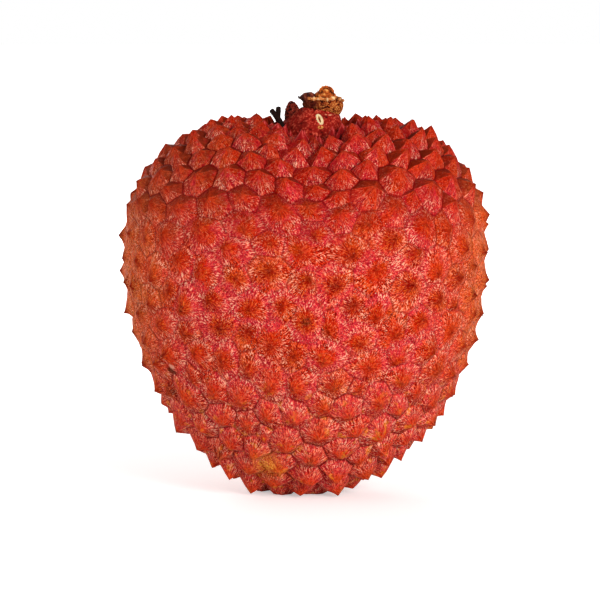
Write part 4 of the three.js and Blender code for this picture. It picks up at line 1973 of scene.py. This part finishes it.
@dataclass(frozen=True)
class SmallCarpel:
    """Egg-shaped carpel that never grew, brown and finely wrinkled."""

    box: Box
    steps: int = 46
    fullness: float = 0.9

    def build(self) -> bpy.types.Object:
        """Builds the carpel.

        Returns:
            The finished piece.
        """
        middle, size = self.box.middle, self.box.size
        level = np.sin(np.linspace(-math.pi / 2, math.pi / 2, self.steps))
        ring = np.clip(1 - level**2, 0.0006, 1) ** 0.5
        half = self.fullness * size[0] / 2 * ring * (1.0 - 0.14 * level)
        profile = np.stack([middle[2] + level * size[2] / 2, middle[0] - 0.12 * level, half], axis=1)
        finish = DryFinish("carpel_bark", (28, 0, 0), (104, 24, 12), (206, 100, 72), (52, 8, 2), 0.2)

        def wrinkles(g: GeometryGraph, point: Field) -> Field:
            """Fine folds that run slantwise around it.

            Args:
                g: Tree of the piece.
                point: Point of the surface, in millimetres.

            Returns:
                Height of the surface, about 0 to 1.
            """
            stray = g.noise_vector(point, 1.5) * 0.7
            folds = g.noise((point + stray) * (1.0, 1.0, 2.0), 2.8, 3.0, 0.6)
            return 0.75 - 7.0 * g.math("ABSOLUTE", folds - 0.5)

        mesh = lofted("carpel", stacked(profile, 1.0, float(middle[1]), self.steps, 90))
        material = finish.material(float(middle[0]) - 0.2)
        return raised("small_carpel", mesh, material, 0.15, wrinkles)


@dataclass(frozen=True)
class DriedStyle:
    """Stiff black fork: a stem that splits in two blunt lobes."""

    box: Box
    foot_radius: float = 0.27
    stem_radius: float = 0.25
    lobe_radius: float = 0.2
    end_radius: float = 0.16
    stem_steps: int = 36
    branch_steps: int = 28

    def build(self) -> bpy.types.Object:
        """Builds the fork.

        Returns:
            The finished piece.
        """
        at = self.box.at
        foot, fork = at(0.86, 0.75, 0.0), at(0.56, 0.5, 0.42)
        left, right = at(0.12, 0.3, 0.84), at(0.62, 0.3, 0.98)
        stem_corners = [foot, at(0.72, 0.6, 0.2), fork, 0.5 * (fork + left), left]
        stem = smooth_path(stem_corners, self.stem_steps)
        branch_corners = [at(0.7, 0.62, 0.22), fork, 0.45 * fork + 0.55 * right, right]
        branch = smooth_path(branch_corners, self.branch_steps)
        slim, end = self.lobe_radius, self.end_radius
        along_stem = np.linspace(0, 1, self.stem_steps)
        stem_sizes = [self.foot_radius, self.stem_radius, slim, slim, end]
        stem_radii = np.interp(along_stem, [0, 0.35, 0.6, 0.95, 1], stem_sizes)
        along_branch = np.linspace(0, 1, self.branch_steps)
        branch_radii = np.interp(along_branch, [0, 0.95, 1], [slim, slim, end])
        tubes = [
            lofted("stem", swept(stem, stem_radii, 18)),
            lofted("branch", swept(branch, branch_radii, 18)),
        ]
        finish = DryFinish("dried_style", (4, 1, 1), (24, 8, 6), (74, 38, 30), (10, 3, 2))

        def wrinkles(g: GeometryGraph, point: Field) -> Field:
            """Shrunken folds."""
            return g.noise(point * (1.4, 1.4, 0.8), 3.4, 3.0, 0.6)

        material = finish.material(float(self.box.low[0]) - 1.0)
        return raised("style_fork", merged("fork", tubes), material, 0.12, wrinkles)


# ---------------------------------------------------------------- collar of spikes


@dataclass(frozen=True)
class Collar:
    """Rings of narrow spikes in the dip, around the foot of the stalk.

    Each ring holds its number of spikes, distance from the stalk, spike radius and spike height. A
    spike is sunk into the skin, with so many points around it and so many steps up it.
    """

    form: HeartForm
    stalk: Box
    seed: int = 77
    sunk: float = 0.45
    sides: int = 10
    steps: int = 8
    rings: tuple[tuple[int, float, float, float], ...] = (
        (24, 0.75, 0.6, 1.25),
        (22, 1.65, 0.75, 1.3),
        (20, 2.65, 0.9, 1.35),
        (20, 3.8, 1.0, 1.35),
    )

    def spikes(self) -> bpy.types.Mesh:
        """Places the spikes.

        Returns:
            A mesh of one point per spike, with its size and the way it aims.
        """
        chance = random_source(self.seed)
        half_width, half_depth = self.stalk.size[0] / 2, self.stalk.size[1] / 2
        places, sizes, aims = [], [], []
        for count, distance, radius, height in self.rings:
            for i in range(count):
                turn = (i + 0.5 * next(chance)) / count * 2 * math.pi
                out = np.array([math.cos(turn), math.sin(turn)])
                x = self.form.stalk_x + (half_width + distance) * out[0]
                y = (half_depth + distance) * out[1]
                tall = height * (1 + 0.3 * (2 * next(chance) - 1)) * (0.3 + 0.7 * abs(out[1]))
                places.append((x, y, self.form.crown_height(x, y) - self.sunk))
                sizes.append((radius * (0.85 + 0.3 * next(chance)), radius * 0.8, tall + self.sunk))
                aims.append((-0.2 * out[0], -0.2 * out[1], 1.0))
        mesh = bpy.data.meshes.new("spikes")
        mesh.from_pydata(places, [], [])
        for name, rows in (("size", sizes), ("aim", aims)):
            layer = mesh.attributes.new(name, "FLOAT_VECTOR", "POINT")
            layer.data.foreach_set("vector", np.array(rows, dtype=np.float32).ravel())
        return mesh

    def build(self) -> bpy.types.Object:
        """Builds the spikes.

        Returns:
            The finished piece.
        """
        finish = DryFinish("spike_skin", (50, 0, 0), (150, 14, 16), (214, 78, 72), (84, 4, 2))
        g = GeometryGraph("collar_growth")
        material = g.take("Finish", finish.material(self.form.stalk_x))
        sides = g.take("Points around a spike", self.sides)
        steps = g.take("Steps up a spike", self.steps)
        cone = g.add(
            "GeometryNodeMeshCone",
            {
                "Vertices": sides,
                "Side Segments": steps,
                "Radius Top": 0.03,
                "Radius Bottom": 1.0,
                "Depth": 1.0,
            },
        ).outputs["Mesh"]
        x, y, z = g.out(g.add("GeometryNodeInputPosition")).parts
        belly = 1.0 + 1.2 * z * (1.0 - z)
        # Five lighter sides around each spike, for painted light in its colour.
        painted_lit_sides = 0.5 + 0.5 * g.math("COSINE", g.math("ARCTAN2", y, x) * 5.0)
        cone = g.store(cone, "face", painted_lit_sides, "FLOAT", "POINT")
        cone = g.store(cone, "share", z, "FLOAT", "POINT")
        cone = g.place(cone, g.combine(x * belly, y * belly, z))
        points = g.add("GeometryNodeMeshToPoints", {"Mesh": g.geometry}).outputs[0]
        turned = g.out(g.add("FunctionNodeAlignRotationToVector", {"Vector": g.named("aim")}, axis="Z"))
        copies = g.add(
            "GeometryNodeInstanceOnPoints",
            {"Points": points, "Instance": cone, "Rotation": turned, "Scale": g.named("size")},
        ).outputs[0]
        mesh = g.add("GeometryNodeRealizeInstances", {"Geometry": copies}).outputs[0]
        place = g.out(g.add("GeometryNodeInputPosition"))
        face, share = g.named("face", "FLOAT"), g.named("share", "FLOAT")
        lump = g.noise(place, 2.6, 2.0)
        # The spikes' colour carries painted light: lighter on five sides and towards the tip, with
        # painted shade at the base.
        relief = face * 0.55 + 0.6 * share - 0.1 + 0.5 * (lump - 0.5)
        mesh = g.store(mesh, "relief", relief, "FLOAT", "POINT")
        mesh = g.place(mesh, (place + g.noise_vector(place, 1.7) * 0.22) * MM)
        g.finish(mesh, material)
        return g.run("collar_spikes", self.spikes())


# ---------------------------------------------------------------- studio


@dataclass(frozen=True)
class Lamp:
    """Square soft lamp: its place and the length of its side in millimetres, its power in watts."""

    name: str
    place: Triple
    side: float
    power: float


@dataclass(frozen=True)
class Studio:
    """White surroundings, soft light and a long lens.

    The target, the frame's width and the distances over which the floor's glow rises to full are in
    millimetres, the elevation is in degrees and the floor's reach in metres.
    """

    target: Triple
    frame_width: float
    elevation: float
    lens: float = 200.0
    sensor: float = 36.0
    surround_light: float = 0.38
    lamps: tuple[Lamp, ...] = (
        Lamp("key_light", (200.0, -390.0, 150.0), side=170.0, power=1.8),
        Lamp("fill_light", (-330.0, -10.0, 40.0), side=200.0, power=0.38),
        Lamp("back_light", (-110.0, 400.0, 120.0), side=200.0, power=0.8),
    )
    floor_glow: float = 0.44
    glow_from: float = 25.0
    glow_full: float = 140.0
    floor_reach: float = 4.0

    def build(self) -> None:
        """Adds the surroundings, the floor, the lamps and the camera."""
        self._surroundings()
        self._floor()
        for lamp in self.lamps:
            self._hang(lamp)
        self._camera()
        bpy.context.scene.view_settings.view_transform = "Standard"

    def _surroundings(self) -> None:
        """World that is white to the eye and lights the object at a plain level."""
        world = bpy.data.worlds.new("surroundings")
        world.use_nodes = True
        bpy.context.scene.world = world
        g = Graph(world.node_tree)
        strength = g.mix(g.seen(), self.surround_light, 1.0)
        background = world.node_tree.nodes["Background"]
        g.feed(background.inputs["Color"], (1.0, 1.0, 1.0, 1.0))
        g.feed(background.inputs["Strength"], strength)

    def _floor(self) -> None:
        """Wide white floor that keeps the object's soft shadow."""
        g = ShaderGraph("floor_white")
        g.feed(g.surface.inputs["Emission Color"], (1.0, 1.0, 1.0, 1.0))
        far = g.smoothstep(g.length(g.place_mm()), self.glow_from, self.glow_full)
        g.feed(g.surface.inputs["Emission Strength"], g.seen() * g.mix(far, self.floor_glow, 1.0))
        finish = g.close(linear(244, 243, 241), 0.9)
        mesh = bpy.data.meshes.new("floor")
        reach = self.floor_reach
        corners = [(x * reach, y * reach, 0.0) for x, y in ((-1, -1), (1, -1), (1, 1), (-1, 1))]
        mesh.from_pydata(corners, [], [(0, 1, 2, 3)])
        mesh.materials.append(finish)
        floor = bpy.data.objects.new("floor", mesh)
        bpy.context.collection.objects.link(floor)

    def _hang(self, lamp: Lamp) -> None:
        """Adds a lamp that faces the target.

        Args:
            lamp: Lamp to add.
        """
        light = bpy.data.lights.new(lamp.name, "AREA")
        light.size = lamp.side * MM
        light.energy = lamp.power
        holder = bpy.data.objects.new(lamp.name, light)
        bpy.context.collection.objects.link(holder)
        self._aim(holder, Vector(lamp.place) * MM)

    def _camera(self) -> None:
        """Camera with a long lens, a little above the level of the target."""
        camera = bpy.data.cameras.new("camera")
        camera.lens = self.lens
        camera.sensor_width = self.sensor
        holder = bpy.data.objects.new("camera", camera)
        bpy.context.collection.objects.link(holder)
        distance = self.lens / self.sensor * self.frame_width * MM
        tilt = math.radians(self.elevation)
        offset = distance * Vector((0, -math.cos(tilt), math.sin(tilt)))
        self._aim(holder, Vector(self.target) * MM + offset)
        bpy.context.scene.camera = holder

    def _aim(self, thing: bpy.types.Object, place: Vector) -> None:
        """Turns a lamp or a camera to the target.

        Args:
            thing: Lamp or camera.
            place: Where it goes, in metres.
        """
        thing.location = place
        way = Vector(self.target) * MM - place
        thing.rotation_euler = way.to_track_quat("-Z", "Y").to_euler()


# ---------------------------------------------------------------- hand-over


def adopt(piece: bpy.types.Object, node: Node, slot: Slot) -> None:
    """Hands a finished piece over, in the place of its CAD node.

    Args:
        piece: Finished piece.
        node: CAD node that it stands for.
        slot: Material slot meant for the piece; not used.
    """
    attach(piece, ROOT)
    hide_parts(node.value)
    LOG.info("%s: %d triangles", piece.name, triangles(piece))


def main() -> None:
    """Builds the lychee."""
    logging.basicConfig(level=logging.INFO, format="%(name)s: %(message)s")
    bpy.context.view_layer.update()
    stalk_box = Box.of(Node.STALK)
    form = HeartForm.inside(Box.of(Node.FRUIT), stalk_box)
    adopt(Skin(CellNet(form), ReliefSizes()).build(SkinFinish(form).material()), Node.FRUIT, Slot.SKIN)
    adopt(Collar(form, stalk_box).build(), Node.FRUIT, Slot.SKIN)
    for piece in StalkStub(stalk_box).build():
        adopt(piece, Node.STALK, Slot.STALK)
    adopt(SmallCarpel(Box.of(Node.CARPEL)).build(), Node.CARPEL, Slot.CARPEL)
    adopt(DriedStyle(Box.of(Node.STYLE)).build(), Node.STYLE, Slot.STYLE)
    Studio(target=(-0.55, 0.0, 19.3), frame_width=60.0, elevation=5.0).build()


if __name__ == "__main__":
    main()
